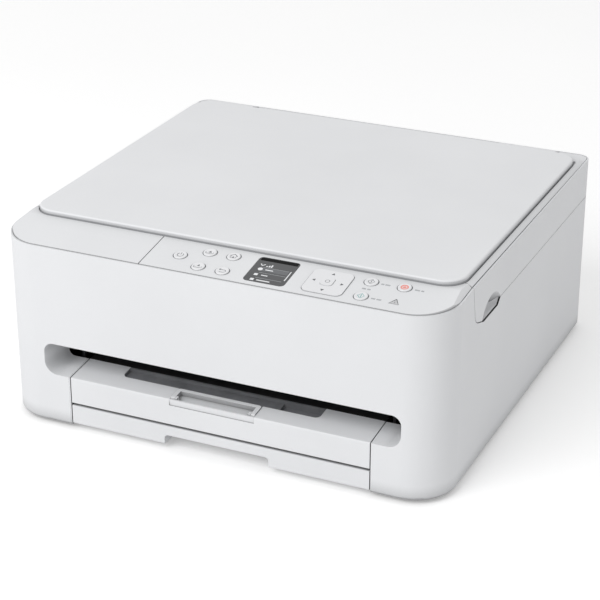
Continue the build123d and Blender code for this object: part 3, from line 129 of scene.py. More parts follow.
# The width of a sign's lines, the steps of a full circle, and how much larger the signs on
# the round keys are than they are drawn.
SIGN_LINE = 0.42
CIRCLE_STEPS = 32
SIGN_SCALE = 1.25
STOP_DISC_RADIUS = 3.1
OK_RING_RADIUS = 1.7
OK_RING_LINE = 0.4
ALARM_RADIUS = 4.3
ALARM_LINE = 0.75

# Plain dashes beside the keys: the spot of each pair, and the left and right end of its two
# dashes from there.
DASH_HALF_WIDTH = 0.85
DASHES = {
    "black_key_dashes": ((127.0, -145.3), [(-3.6, -1.2), (-0.4, 3.4)]),
    "stop_key_dashes": ((153.0, -145.0), [(-3.6, 0.2), (1.2, 3.4)]),
    "start_dashes": ((115.7, -154.9), [(-3.4, -0.4), (0.6, 3.2)]),
    "colour_key_dashes": ((127.4, -165.2), [(-3.8, -0.6), (0.4, 4.0)]),
}

# The screen's plain menu, as bars from left to right and from low to high. The words are
# plain bars too.
SCREEN_BAND = [(-15.2, 15.2, 12.4, 16.4)]
SCREEN_LIT_ROW = [(-8.6, 12.6, -1.6, 3.2)]
SCREEN_ANTENNA = [(-12.2, 7.8), (-10.4, 5.4), (-8.6, 7.8)]
SCREEN_ANTENNA_LINE = 0.9
SCREEN_STEPS = [(-7.0, -5.8, 4.8, 6.0), (-5.2, -4.0, 4.8, 7.0), (-3.4, -2.2, 4.8, 8.2)]
SCREEN_DISC_AT = (-9.8, 0.8)
SCREEN_DISC_RADIUS = 1.9
SCREEN_SQUARES = [(-11.3, -8.4, -8.2, -5.6), (-11.3, -8.4, -15.2, -12.6)]
SCREEN_WORDS = [(-5.6, 0.6, 0.2, 1.3), (-5.6, -0.4, -7.4, -6.4), (-6.2, 4.4, -14.6, -13.4)]
SCREEN_RULES = [(-8.6, 12.6, 3.3, 3.8), (-8.6, 12.6, -4.0, -3.5), (-8.6, 12.6, -11.2, -10.7)]
SCREEN_SCROLL = [(13.6, 14.4, -9.0, 4.0)]

# A finger bowl is part of a ball beside the housing, and the shell's edge dips below it.
GRIP_CENTRE = Vector((206.0, -78.0, 110.0))
GRIP_RADIUS = 32.1
GRIP_DIP = [(-110.5, 124.5), (-95.5, 119.6), (-64.0, 119.6), (-58.0, 124.5)]

# The bowl's floor lies just above that edge and is rounded up into the ball. Its length is
# taken a little above its own height over the ball's centre, so its ends stay in the bowl.
GRIP_FLOOR_RISE = 0.5
GRIP_FLOOR_X = 184.6
GRIP_FLOOR_ENDS_UP = 10.4
GRIP_FLOOR_ROUNDING = 0.35
GRIP_FLOOR_WALL = 0.3
GRIP_FLOOR_HALF_STEPS = 24
GRIP_FLOOR_ROW_STEPS = 8

# A dark strip of painted shade on the shell's edge, from end to end of the dip.
GRIP_SHADE_STRIP_X = (184.7, 185.95)
GRIP_SHADE_STRIP_Y = (-99.0, -58.6)
GRIP_SHADE_STRIP_RISE = 0.3
GRIP_SHADE_STRIP_WALL = 0.25

# The document cover's outline, and the well that it closes.
COVER_HALF_W = 179.3
COVER_FRONT_Y = -133.5
COVER_BACK_Y = 150.0
COVER_CORNER = 18.0
COVER_UNDER_Z = 161.5
WELL_FLOOR_Z = 158.3

# The cover's seal hangs a little inside that outline and stays clear of the well's floor; its grey
# paints the shade line in the gap under the cover's edge.
SKIRT_SET_IN = 0.8
SKIRT_CLEARANCE = 0.4
SKIRT_WALL = 1.0
SKIRT_CORNER_STEPS = 12

# The two tones that a plastic drifts between, and those of painted shade, where several pieces
# share them.
SHELL_WHITE = ((226, 227, 229), (230, 231, 233))
POCKET_SHADE_GREY = ((120, 121, 124), (134, 135, 138))
GAP_SHADE_DARK = ((40, 40, 42), (50, 50, 52))

# The drift of a tone: the noise values that it starts and ends at, how finely it is broken
# up, and how many clouds one metre of painted shade or of an ink holds.
TONE_START = 0.3
TONE_END = 0.7
DRIFT_DETAIL = 4.0
SHADE_CLOUD = 60.0
INK_CLOUD = 400.0

# The fine grain of a surface: how finely it is broken up, and how strong its relief is.
GRAIN_DETAIL = 2.0
GRAIN_BUMP = 0.35

# Painted shade in the creases: the share of open room at which it is darkest, and the share
# of its tone that is left there.
CREASE_CLOSED = 0.4
CREASE_DARKEST = 0.45
CREASE_SAMPLES = 12

# The studio, in metres and watts: a pale floor that glows a little, even light from all
# round, and one wide lamp, high in front and to the left.
FLOOR_HALF = 4.0
FLOOR_TONES = ((236, 236, 236), (239, 239, 239))
FLOOR_CLOUD = 2.0
FLOOR_DETAIL = 2.0
FLOOR_ROUGH = 0.9
FLOOR_GLOW = 0.28
AMBIENT = 0.635
LAMP_AT = (-0.75, -2.1, 2.05)
LAMP_AIM = (0, 0, 0.08)
LAMP_SIZE = (1.6, 1.6)
LAMP_WATTS = 38.5

# The camera, in metres and degrees: how far round to the right of the front it looks from,
# and how far up.
CAMERA_AT = (0.5785, -1.2916, 0.7139)
CAMERA_ROUND = 24.39
CAMERA_UP = 24.74
CAMERA_LENS = 112.03
CAMERA_SENSOR = 36.0


def linear(level):
    """The linear value of a level between 0 and 255."""
    share = level / 255
    return share / 12.92 if share <= 0.04045 else ((share + 0.055) / 1.055) ** 2.4


def colour(levels):
    """The linear colour of red, green and blue levels."""
    return (*(linear(level) for level in levels), 1.0)


def link(tree, source, output, target, socket):
    """Joins an output of one node to a socket of another."""
    tree.links.new(source.outputs[output], target.inputs[socket])


def noise(tree, scale, detail=3.0, stretch=(1, 1, 1)):
    """Noise in the object's own coordinates, where scale counts the grains in one metre."""
    place = tree.nodes.new("ShaderNodeTexCoord")
    mapping = tree.nodes.new("ShaderNodeMapping")
    mapping.inputs["Scale"].default_value = stretch
    grain = tree.nodes.new("ShaderNodeTexNoise")
    grain.inputs["Scale"].default_value = scale
    grain.inputs["Detail"].default_value = detail
    link(tree, place, "Object", mapping, "Vector")
    link(tree, mapping, "Vector", grain, "Vector")
    return grain


def drifting(tree, source, tones):
    """A colour that follows a noise's value from the darker tone to the lighter one."""
    band = tree.nodes.new("ShaderNodeValToRGB")
    for element, position, tone in zip(band.color_ramp.elements, (TONE_START, TONE_END), tones):
        element.position = position
        element.color = colour(tone)
    link(tree, source, "Fac", band, "Fac")
    return band.outputs["Color"]


def shaded_creases(tree, tone, reach):
    """The same tone, darker in the corners that little light gets into."""
    hollow = tree.nodes.new("ShaderNodeAmbientOcclusion")
    hollow.samples = CREASE_SAMPLES
    hollow.inputs["Distance"].default_value = reach * MM
    share = tree.nodes.new("ShaderNodeMapRange")
    share.inputs["From Min"].default_value = CREASE_CLOSED
    share.inputs["To Min"].default_value = CREASE_DARKEST
    blend = tree.nodes.new("ShaderNodeMix")
    blend.data_type = "RGBA"
    blend.blend_type = "MULTIPLY"
    blend.inputs["Factor"].default_value = 1.0
    link(tree, hollow, "AO", share, "Value")
    tree.links.new(tone, blend.inputs["A"])
    tree.links.new(share.outputs["Result"], blend.inputs["B"])
    return blend.outputs["Result"]


def finish(
    name, tones, cloud=9.0, rough=(0.4, 0.5), grain=1500.0, relief=0.02, stretch=(1, 1, 1),
    crease=0.0, **sockets
):
    """A surface that drifts between two tones, with its own grain in gloss and relief, and painted
    shade in its creases where a reach for it is given.
    """
    material = bpy.data.materials.new(name)
    material.use_nodes = True
    tree = material.node_tree
    surface = tree.nodes["Principled BSDF"]
    tone = drifting(tree, noise(tree, cloud, DRIFT_DETAIL, stretch), tones)
    if crease:
        tone = shaded_creases(tree, tone, crease)
    tree.links.new(tone, surface.inputs["Base Color"])
    fine = noise(tree, grain, GRAIN_DETAIL, stretch)
    spread = tree.nodes.new("ShaderNodeMapRange")
    spread.inputs["To Min"].default_value = rough[0]
    spread.inputs["To Max"].default_value = rough[1]
    link(tree, fine, "Fac", spread, "Value")
    link(tree, spread, "Result", surface, "Roughness")
    if relief:
        bump = tree.nodes.new("ShaderNodeBump")
        bump.inputs["Strength"].default_value = GRAIN_BUMP
        bump.inputs["Distance"].default_value = relief * MM
        link(tree, fine, "Fac", bump, "Height")
        link(tree, bump, "Normal", surface, "Normal")
    for socket, value in sockets.items():
        surface.inputs[socket.replace("_", " ")].default_value = value
    material.diffuse_color = colour(tones[1])
    return material


def housing_white(name, tones=SHELL_WHITE, grain=1500.0, crease=16.0):
    """The satin white plastic of the housing, the cover and the trays, with painted shade in its
    creases.
    """
    return finish(
        name, tones, grain=grain, relief=0.03, crease=crease, Specular_IOR_Level=0.25
    )


def flat_ink(name, tones, cloud=INK_CLOUD):
    """An ink that is printed on plastic."""
    return finish(name, tones, cloud=cloud, relief=0)


def smooth_glass(name, tones, cloud=9.0, rough=(0.3, 0.4), **sockets):
    """A pane, a lens, or a layer of the screen."""
    return finish(name, tones, cloud=cloud, rough=rough, relief=0, **sockets)


def beyond(tree, way, distance):
    """1 where a place lies further along a way than a distance, else 0."""
    place = tree.nodes.new("ShaderNodeTexCoord")
    along = tree.nodes.new("ShaderNodeVectorMath")
    along.operation = "DOT_PRODUCT"
    along.inputs[1].default_value = way
    gate = tree.nodes.new("ShaderNodeMath")
    gate.operation = "GREATER_THAN"
    gate.inputs[1].default_value = distance * MM
    link(tree, place, "Object", along, 0)
    link(tree, along, "Value", gate, 0)
    return gate


def between_sides(tree, left, right):
    """Two gates that are both 1 between a left and a right side."""
    return [beyond(tree, (1, 0, 0), left), beyond(tree, (-1, 0, 0), -right)]


def behind_tray_front(tree, distance):
    """1 further back on the tray's slope than a distance from its front edge."""
    return beyond(tree, TRAY_BACK, distance + TRAY_BACK_AT_FRONT)


def under_tray_face(tree, depth):
    """1 deeper under the tray's face than a depth."""
    return beyond(tree, -TRAY_UP, depth - TRAY_UP_AT_FRONT)


def combined(tree, operation, gates):
    """One gate from several: their product is 1 where all are, their maximum where any is."""
    whole = gates[0]
    for gate in gates[1:]:
        join = tree.nodes.new("ShaderNodeMath")
        join.operation = operation
        link(tree, whole, "Value", join, 0)
        link(tree, gate, "Value", join, 1)
        whole = join
    return whole


def paint_shade_tone(material, mask, tones):
    """Painted shade: a darker colour wherever the mask is 1."""
    tree = material.node_tree
    surface = tree.nodes["Principled BSDF"]
    first = surface.inputs["Base Color"].links[0].from_socket
    blend = tree.nodes.new("ShaderNodeMix")
    blend.data_type = "RGBA"
    tree.links.new(mask.outputs["Value"], blend.inputs["Factor"])
    tree.links.new(first, blend.inputs["A"])
    tree.links.new(drifting(tree, noise(tree, SHADE_CLOUD), tones), blend.inputs["B"])
    tree.links.new(blend.outputs["Result"], surface.inputs["Base Color"])


def tray_finish():
    """White plastic with painted shade: grey in the tray's sunk pocket and behind the bridge, and
    dark on its right end in the gap.
    """
    tray = housing_white("white_tray_plastic")
    tree = tray.node_tree
    pocket = between_sides(tree, POCKET_LEFT_X, POCKET_RIGHT_X)
    pocket.append(behind_tray_front(tree, POCKET_FRONT))
    sunk = under_tray_face(tree, POCKET_DROP)
    bridge = behind_tray_front(tree, POCKET_BRIDGE)
    pocket.append(combined(tree, "MAXIMUM", [sunk, bridge]))
    paint_shade_tone(tray, combined(tree, "MULTIPLY", pocket), POCKET_SHADE_GREY)
    # Painted shade: the tray's right end is dark where its gap shows it.
    paint_shade_tone(tray, beyond(tree, (1, 0, 0), TRAY_RIGHT_X - WALL_REACH), GAP_SHADE_DARK)
    return tray


def support_finish():
    """The support's white front, with painted shade in grey on its plate under the tray's face."""
    support = housing_white("white_support_plastic")
    tree = support.node_tree
    plate = [behind_tray_front(tree, SUPPORT_SHADE_FRONT), under_tray_face(tree, SUPPORT_SHADE_DROP)]
    paint_shade_tone(support, combined(tree, "MULTIPLY", plate), POCKET_SHADE_GREY)
    return support


def lower_shell_finish():
    """White shell plastic, with painted shade on the narrow wall that the tray's left gap shows."""
    shell = housing_white("white_lower_shell", grain=2600.0)
    tree = shell.node_tree
    wall = between_sides(tree, GAP_LEFT_X - WALL_REACH, GAP_LEFT_X + WALL_REACH)
    wall.append(beyond(tree, (0, 0, -1), -GAP_WALL_TOP_Z))
    wall.append(beyond(tree, (0, -1, 0), -GAP_WALL_BACK_Y))
    paint_shade_tone(shell, combined(tree, "MULTIPLY", wall), GAP_SHADE_DARK)
    return shell


def make_finishes():
    """Every finish on the printer, by the name that a moulder or painter would give it, and those
    that paint shade.
    """
    cover_white = ((229, 230, 232), (233, 234, 236))
    cassette_white = ((224, 225, 227), (229, 230, 232))
    return {
        "shell": housing_white("satin_white_shell", grain=2600.0),
        "cover": housing_white("satin_white_cover", cover_white, grain=2200.0, crease=7.0),
        "cassette": housing_white(
            "white_cassette_plastic", cassette_white, grain=2000.0, crease=4.0
        ),
        "keys": finish(
            "white_key_plastic", ((228, 229, 231), (233, 233, 235)), rough=(0.3, 0.38),
            relief=0.01,
        ),
        "inside": finish(
            "dark_inner_plastic", ((34, 34, 36), (44, 44, 46)), rough=(0.45, 0.6), relief=0.04
        ),
        "outlet": finish(
            "black_outlet_floor", ((20, 20, 21), (27, 27, 28)), rough=(0.55, 0.7), relief=0.04
        ),
        "casing": finish(
            "black_casing_plastic", ((24, 24, 26), (32, 32, 34)), rough=(0.35, 0.5),
            relief=0.03,
        ),
        "rubber": finish(
            "grey_rubber", ((46, 46, 47), (58, 58, 59)), rough=(0.75, 0.9), grain=900.0,
            relief=0.05,
        ),
        "steel": finish(
            "rolled_steel", ((168, 170, 173), (190, 191, 194)), rough=(0.25, 0.4),
            grain=600.0, stretch=(0.06, 1, 1), relief=0.01, Metallic=1.0,
        ),
        "board": finish(
            "green_circuit_board", ((22, 78, 46), (36, 104, 62)), cloud=260.0,
            rough=(0.3, 0.45),
        ),
        "screen": smooth_glass(
            "dark_screen_glass", ((60, 61, 63), (74, 75, 77)), cloud=14.0, rough=(0.16, 0.2)
        ),
        "band": smooth_glass(
            "black_screen_band", ((12, 12, 13), (18, 18, 19)), cloud=30.0, rough=(0.5, 0.6),
            Specular_IOR_Level=0.1,
        ),
        "row": smooth_glass("lit_screen_row", ((88, 90, 93), (100, 102, 105)), rough=(0.2, 0.3)),
        "glyph": smooth_glass("pale_screen_sign", ((232, 233, 235), (240, 241, 243))),
        "glyph_dim": smooth_glass("grey_screen_sign", ((138, 140, 143), (152, 154, 157))),
        # This grey serves the printed signs and the painted shade round the keys and the pad.
        "mark": flat_ink("grey_print_and_painted_shade", ((104, 106, 110), (120, 122, 126))),
        "mark_pale": flat_ink("pale_printed_mark", ((168, 170, 173), (182, 184, 187))),
        "red": flat_ink("coral_printed_disc", ((232, 138, 128), (240, 158, 148)), 300.0),
        "teal": flat_ink("teal_printed_mark", ((88, 158, 156), (108, 172, 170))),
        "lamp": smooth_glass(
            "frosted_lamp_lens", ((196, 196, 198), (206, 206, 208)), rough=(0.2, 0.25)
        ),
        "pad": finish(
            "white_pad_sheet", ((232, 232, 232), (238, 238, 238)), rough=(0.7, 0.85),
            grain=1800.0, relief=0.08,
        ),
        "glass": smooth_glass(
            "platen_glass", ((236, 242, 240), (244, 248, 246)), cloud=3.0,
            rough=(0.02, 0.04), Transmission_Weight=0.95, IOR=1.5,
        ),
        "clear": smooth_glass(
            "grey_lens_glass", ((120, 126, 130), (140, 146, 150)), rough=(0.1, 0.15)
        ),
        "sponge": finish(
            "ink_felt", ((84, 82, 84), (122, 120, 122)), cloud=320.0, rough=(0.85, 0.95),
            relief=0.2,
        ),
        # Painted shade: the seal's grey stands for the shade line under the cover's edge.
        "seal": finish(
            "grey_seal_painting_gap_shade", ((140, 141, 144), (150, 151, 154)), rough=(0.7, 0.8)
        ),
        "mark_dark": flat_ink("dark_printed_mark", ((88, 89, 92), (104, 105, 108))),
        "tray": tray_finish(),
        "support": support_finish(),
        "lower_shell": lower_shell_finish(),
    }


# The nodes of the part's source that wear each finish.
FINISH_OF_NODE = {
    "shell": [
        "rear_panel", "rear_cover", "left_top_panel", "control_panel", "paper_stopper",
        "scanner_case", "platen_frame",
    ],
    "cassette": ["cassette_tray"],
    "lower_shell": ["main_shell"],
    "tray": ["output_tray"],
    "support": ["output_support"],
    "cover": ["document_cover"],
    "keys": list(KEYS) + ["direction_pad", "ok_button"],
    "outlet": ["inner_tray"],
    "inside": [
        "base_pan", "inner_frame", "platen_plate", "star_wheel_bar", "capping_unit",
        "scan_head",
    ],
    "casing": [
        "paper_guide_left", "paper_guide_right", "end_guide", "print_carriage",
        "black_cartridge", "colour_cartridge", "mains_inlet", "power_supply", "lcd_module",
    ],
    "rubber": ["feet", "feed_roller", "exit_roller", "roller_belt"],
    "steel": [
        "carriage_rail", "scan_rod", "cover_hinge_pins", "scanner_hinge_pins", "usb_port",
        "feed_motor", "carriage_motor",
    ],
    "board": ["main_board", "control_board"],
    "screen": ["lcd_window"],
    "lamp": ["alarm_lamp"],
    "pad": ["cover_pad"],
    "glass": ["platen_glass"],
    "clear": ["lens_strip"],
    "sponge": ["ink_absorber"],
}


def dress_cad_nodes(finishes):
    for name, nodes in FINISH_OF_NODE.items():
        for node in nodes:
            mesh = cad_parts[node].data
            mesh.materials.clear()
            mesh.materials.append(finishes[name])


def placed(name, data):
    """A new object in the scene, at the origin."""
    piece = bpy.data.objects.new(name, data)
    bpy.context.scene.collection.objects.link(piece)
    return piece


def moulded(name, shape, material):
    """A mesh made from a finished shape."""
    mesh = bpy.data.meshes.new(name)
    shape.to_mesh(mesh)
    shape.free()
    mesh.materials.append(material)
    return mesh


def thicken(piece, thickness):
    """Gives a sheet its wall, on the side that it turns away from."""
    wall = piece.modifiers.new("wall", "SOLIDIFY")
    wall.thickness = thickness * MM
    wall.offset = -1.0


def panel_spot(at, u, v, rise):
    """A place u to the right and v to the rear of a spot on the panel, in metres."""
    back = (at[1] - PANEL_FRONT_Y) / math.cos(PANEL_ANGLE) + v
    corner = Vector((at[0] + u, PANEL_FRONT_Y, PANEL_FRONT_Z))
    return (corner + PANEL_BACK * back + PANEL_UP * rise) * MM


def arc(radius, start, end, steps=18, centre=(0, 0)):
    """Places on a circle from one angle to another, in degrees from the right."""
    turn = [math.radians(start + (end - start) * step / steps) for step in range(steps + 1)]
    return [(centre[0] + radius * math.cos(a), centre[1] + radius * math.sin(a)) for a in turn]


def stroke(points, width=SIGN_LINE):
    """Four-sided faces that follow a line and share their ends at its bends."""
    edges = []
    for index, (x, y) in enumerate(points):
        before = points[max(index - 1, 0)]
        after = points[min(index + 1, len(points) - 1)]
        along = Vector((after[0] - before[0], after[1] - before[1])).normalized()
        side = Vector((-along.y, along.x)) * width / 2
        edges.append(((x + side.x, y + side.y), (x - side.x, y - side.y)))
    return [[a[1], b[1], b[0], a[0]] for a, b in zip(edges, edges[1:])]


def ring(radius, width):
    return stroke(arc(radius, 0, 360, CIRCLE_STEPS), width)


def disc(radius, centre=(0, 0)):
    rim = arc(radius, 0, 360, CIRCLE_STEPS, centre)
    return [[centre, a, b] for a, b in zip(rim, rim[1:])]


def bars(rows):
    """Upright rectangles, each from its left to its right end and from low to high."""
    return [[(x0, y0), (x1, y0), (x1, y1), (x0, y1)] for x0, x1, y0, y1 in rows]


def print_mark(name, faces, place, material, body, longest=SIGN_CUT):
    """A thin layer of print or of painted shade: flat faces cut fine enough to follow the surface
    that carries them.
    """
    shape = bmesh.new()
    for face in faces:
        corners = [shape.verts.new((x, y, 0)) for x, y in face]
        shape.faces.new(corners)
    bmesh.ops.remove_doubles(shape, verts=shape.verts, dist=PRINT_MERGE)
    bmesh.ops.triangulate(shape, faces=shape.faces)
    for _ in range(PRINT_CUTS):
        long_edges = [edge for edge in shape.edges if edge.calc_length() > longest]
        if long_edges:
            bmesh.ops.subdivide_edges(shape, edges=long_edges, cuts=1)
            bmesh.ops.triangulate(shape, faces=shape.faces)
    for face in shape.faces:
        if face.normal.z < 0:
            face.normal_flip()
    for vert in shape.verts:
        vert.co = place(vert.co.x, vert.co.y)
    piece = placed(name, moulded(name, shape, material))
    thicken(piece, PRINT_THICKNESS)
    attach(piece, body)


def on_key(at):
    """Places that follow the dish of a round key."""
    def place(u, v):
        sag = DISH_RADIUS - math.sqrt(DISH_RADIUS**2 - u * u - v * v)
        return panel_spot(at, u, v, DISH_RISE + sag + PRINT_LIFT)
    return place


def on_flat(at, rise):
    """Places on a flat face that stands above the panel."""
    def place(u, v):
        return panel_spot(at, u, v, rise + PRINT_LIFT)
    return place


def raised(below):
    """The same places, one printed layer higher."""
    def place(u, v):
        return below(u, v) + PANEL_UP * PRINT_LIFT * MM
    return place


# Each sign is drawn in millimetres round the middle of its key, or of the alarm lamp.
def power_sign():
    return stroke(arc(1.9, 125, 415)) + stroke([(0, 0.5), (0, 2.5)])


def tray_sign(peak):
    """A sheet tray with a peak over it."""
    return stroke([(-2.5, -0.2), (-2.5, -1.6), (2.5, -1.6), (2.5, -0.2)]) + [peak]


def house_sign():
    roof = stroke([(-2.5, 0.1), (0, 2.2), (2.5, 0.1)], 0.55)
    walls = stroke([(-1.7, 0.2), (-1.7, -1.9), (1.7, -1.9), (1.7, 0.2)])
    return roof + walls + bars([(-0.5, 0.5, -1.8, -0.3)])


def return_sign():
    hook = stroke([(-1.6, 0.9), (0.9, 0.9)] + arc(1.3, 90, -90, 12, (0.9, -0.4)) + [(-1.6, -1.7)])
    return hook + [[(-2.7, 0.9), (-1.5, 0.0), (-1.5, 1.8)]]


def diamond_sign():
    rim = stroke([(0, -2.4), (2.1, 0), (0, 2.4), (-2.1, 0), (0, -2.4)], 0.4)
    return rim + stroke([(0, -1.1), (0, 1.5)], 0.45)


def octagon_sign():
    return stroke(arc(1.35, 22.5, 382.5, 8), 0.4)


def alarm_outline():
    return stroke(arc(ALARM_RADIUS, 90, 450, 3), ALARM_LINE)


def alarm_sign():
    return stroke([(0, 1.0), (0, -0.4)], 0.45) + bars([(-0.25, 0.25, -1.3, -0.8)])


def gap_ring():
    """The shade in a key's gap: a ring that is thickest at its left and right."""
    faces = []
    turns = [2 * math.pi * step / KEY_GAP_STEPS for step in range(KEY_GAP_STEPS + 1)]
    more = KEY_GAP_THICK - KEY_GAP_THIN
    for a, b in zip(turns, turns[1:]):
        rim = []
        for turn, out in ((a, 0), (b, 0), (b, 1), (a, 1)):
            reach = KEY_GAP_RADIUS + out * (KEY_GAP_THIN + more * math.cos(turn) ** 2)
            rim.append((reach * math.cos(turn), reach * math.sin(turn)))
        faces.append(rim)
    return faces


def pad_outline():
    """The painted shade in the gap round the direction pad, with its four round corners."""
    line = []
    for x, y, start in ((1, 1, 0), (-1, 1, 90), (-1, -1, 180), (1, -1, 270)):
        centre = (x * (PAD_HALF_W - PAD_CORNER), y * (PAD_HALF_L - PAD_CORNER))
        line += arc(PAD_CORNER, start, start + 90, PAD_CORNER_STEPS, centre)
    return stroke(line + line[:1], PAD_LINE)


def print_on_panel(name, faces, at, material, longest=SIGN_CUT):
    """A layer of print or of painted shade that lies flat on the panel round a spot."""
    print_mark(name, faces, on_flat(at, 0.0), material, "printer_body", longest)


def paint_gap_shade_rings(finishes):
    """The shade round each key and round the direction pad."""
    for node, at in KEYS.items():
        gap_shade_name = node.replace("button", "ring")
        # Each ring is painted shade in the key's gap, in the grey of the printed signs.
        print_on_panel(gap_shade_name, gap_ring(), at, finishes["mark"], RING_CUT)
    print_on_panel("pad_gap_shade", pad_outline(), PAD_AT, finishes["mark"], RING_CUT)


def enlarged(faces, factor):
    return [[(x * factor, y * factor) for x, y in face] for face in faces]


def print_keys(finishes):
    """The sign on each round key. The stop key's lies on a coloured disc."""
    signs = {
        "power_button": (power_sign(), "mark"),
        "menu_button_1": (tray_sign([(-1.2, -0.4), (1.2, -0.4), (0, 1.5)]), "mark"),
        "menu_button_2": (house_sign(), "mark"),
        "menu_button_3": (tray_sign([(-0.9, 0.1), (0.9, 0.1), (0, 2.1)]), "mark"),
        "menu_button_4": (return_sign(), "mark"),
        "black_button": (diamond_sign(), "mark"),
        "colour_button": (diamond_sign(), "teal"),
        "stop_button": (octagon_sign(), "keys"),
    }
    for node, (faces, tone) in signs.items():
        place = on_key(KEYS[node])
        body = node + "_body"
        if node == "stop_button":
            print_mark("stop_disc", disc(STOP_DISC_RADIUS), place, finishes["red"], body)
            place = raised(place)
        sign = enlarged(faces, SIGN_SCALE)
        print_mark(node.replace("button", "sign"), sign, place, finishes[tone], body)


def pad_arrow_tree():
    """A flat triangle, repeated at even turns round the pad's centre and pointing away from it."""
    tree = bpy.data.node_groups.new("arrow_ring", "GeometryNodeTree")
    face = tree.interface
    face.new_socket("Geometry", in_out="OUTPUT", socket_type="NodeSocketGeometry")
    count = face.new_socket("Arrow Count", in_out="INPUT", socket_type="NodeSocketInt")
    reach = face.new_socket("Ring Radius", in_out="INPUT", socket_type="NodeSocketFloat")
    size = face.new_socket("Arrow Size", in_out="INPUT", socket_type="NodeSocketFloat")
    tint = face.new_socket("Ink", in_out="INPUT", socket_type="NodeSocketMaterial")
    begin = tree.nodes.new("NodeGroupInput")
    end = tree.nodes.new("NodeGroupOutput")
    ring_points = tree.nodes.new("GeometryNodeMeshCircle")
    arrow = tree.nodes.new("GeometryNodeMeshCircle")
    arrow.fill_type = "NGON"
    arrow.inputs["Vertices"].default_value = 3
    place = tree.nodes.new("GeometryNodeInstanceOnPoints")
    position = tree.nodes.new("GeometryNodeInputPosition")
    aim = tree.nodes.new("FunctionNodeAlignRotationToVector")
    aim.axis = "X"
    whole = tree.nodes.new("GeometryNodeRealizeInstances")
    ink = tree.nodes.new("GeometryNodeSetMaterial")
    link(tree, begin, "Arrow Count", ring_points, "Vertices")
    link(tree, begin, "Ring Radius", ring_points, "Radius")
    link(tree, begin, "Arrow Size", arrow, "Radius")
    link(tree, ring_points, "Mesh", place, "Points")
    link(tree, arrow, "Mesh", place, "Instance")
    link(tree, position, "Position", aim, "Vector")
    link(tree, aim, "Rotation", place, "Rotation")
    link(tree, place, "Instances", whole, "Geometry")
    link(tree, whole, "Geometry", ink, "Geometry")
    link(tree, begin, "Ink", ink, "Material")
    link(tree, ink, "Geometry", end, "Geometry")
    return tree, {"count": count, "reach": reach, "size": size, "ink": tint}


def grown(name, tree, values):
    """The piece that a Geometry Nodes tree makes from nothing but its named inputs."""
    seed = placed(name + "_seed", bpy.data.meshes.new(name + "_seed"))
    maker = seed.modifiers.new("maker", "NODES")
    maker.node_group = tree
    for socket, value in values:
        maker[socket.identifier] = value
    graph = bpy.context.evaluated_depsgraph_get()
    mesh = bpy.data.meshes.new_from_object(seed.evaluated_get(graph), depsgraph=graph)
    mesh.name = name
    seed.modifiers.remove(maker)
    bpy.data.objects.remove(seed)
    return placed(name, mesh)


def print_pad_arrows(finishes):
    tree, sockets = pad_arrow_tree()
    values = [
        (sockets["count"], PAD_ARROWS),
        (sockets["reach"], PAD_ARROW_RING),
        (sockets["size"], PAD_ARROW_SIZE),
        (sockets["ink"], finishes["mark_dark"]),
    ]
    piece = grown("pad_arrows", tree, values)
    for vert in piece.data.vertices:
        vert.co = panel_spot(PAD_AT, vert.co.x, vert.co.y, PAD_RISE + PAD_ARROW_LIFT)
    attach(piece, "direction_pad_body")


def print_panel(finishes):
    """The signs on the pad, the confirm key, the lamp and the panel beside the keys."""
    print_pad_arrows(finishes)
    ok_ring = ring(OK_RING_RADIUS, OK_RING_LINE)
    on_ok = on_flat(OK_AT, OK_RISE)
    print_mark("confirm_sign", ok_ring, on_ok, finishes["mark"], "ok_button_body")
    print_on_panel("lamp_outline", alarm_outline(), ALARM_AT, finishes["mark_dark"])
    print_on_panel("lamp_sign", alarm_sign(), ALARM_AT, finishes["mark_dark"])
    for name, (at, runs) in DASHES.items():
        dashes = bars([(x0, x1, -DASH_HALF_WIDTH, DASH_HALF_WIDTH) for x0, x1 in runs])
        print_on_panel(name, dashes, at, finishes["mark_pale"])


def print_screen(finishes):
    """A plain menu: status signs, three rows with a sign and a short bar each, and a scroll bar."""
    on_glass = on_flat(SCREEN_AT, SCREEN_RISE)
    on_row = on_flat(SCREEN_AT, SCREEN_RISE + PRINT_LIFT)
    status = stroke(SCREEN_ANTENNA, SCREEN_ANTENNA_LINE) + bars(SCREEN_STEPS)
    rows = disc(SCREEN_DISC_RADIUS, SCREEN_DISC_AT) + bars(SCREEN_SQUARES + SCREEN_WORDS)
    layers = (
        ("screen_band", bars(SCREEN_BAND), on_glass, "band"),
        ("screen_row_light", bars(SCREEN_LIT_ROW), on_glass, "row"),
        ("screen_status_signs", status, on_glass, "glyph"),
        ("screen_rows", rows, on_row, "glyph"),
        ("screen_lines", bars(SCREEN_RULES), on_glass, "glyph_dim"),
        ("screen_scroll_bar", bars(SCREEN_SCROLL), on_glass, "glyph"),
    )
    for name, faces, place, tone in layers:
        print_mark(name, faces, place, finishes[tone], "printer_body", SCREEN_CUT)


def dip_height(y):
    """The height of the shell's edge at a grip."""
    for (y0, z0), (y1, z1) in zip(GRIP_DIP, GRIP_DIP[1:]):
        if y <= y1:
            return z0 + (z1 - z0) * (y - y0) / (y1 - y0)
    return GRIP_DIP[-1][1]


def ribbon(name, rows, thickness, material, body):
    """A smooth sheet through rows of places, with its back closed."""
    shape = bmesh.new()
    grid = [[shape.verts.new(place) for place in row] for row in rows]
    for low, high in zip(grid, grid[1:]):
        for a, b, c, d in zip(low, low[1:], high[1:], high):
            shape.faces.new([a, b, c, d])
    mesh = moulded(name, shape, material)
    for face in mesh.polygons:
        face.use_smooth = True
    piece = placed(name, mesh)
    thicken(piece, thickness)
    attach(piece, body)


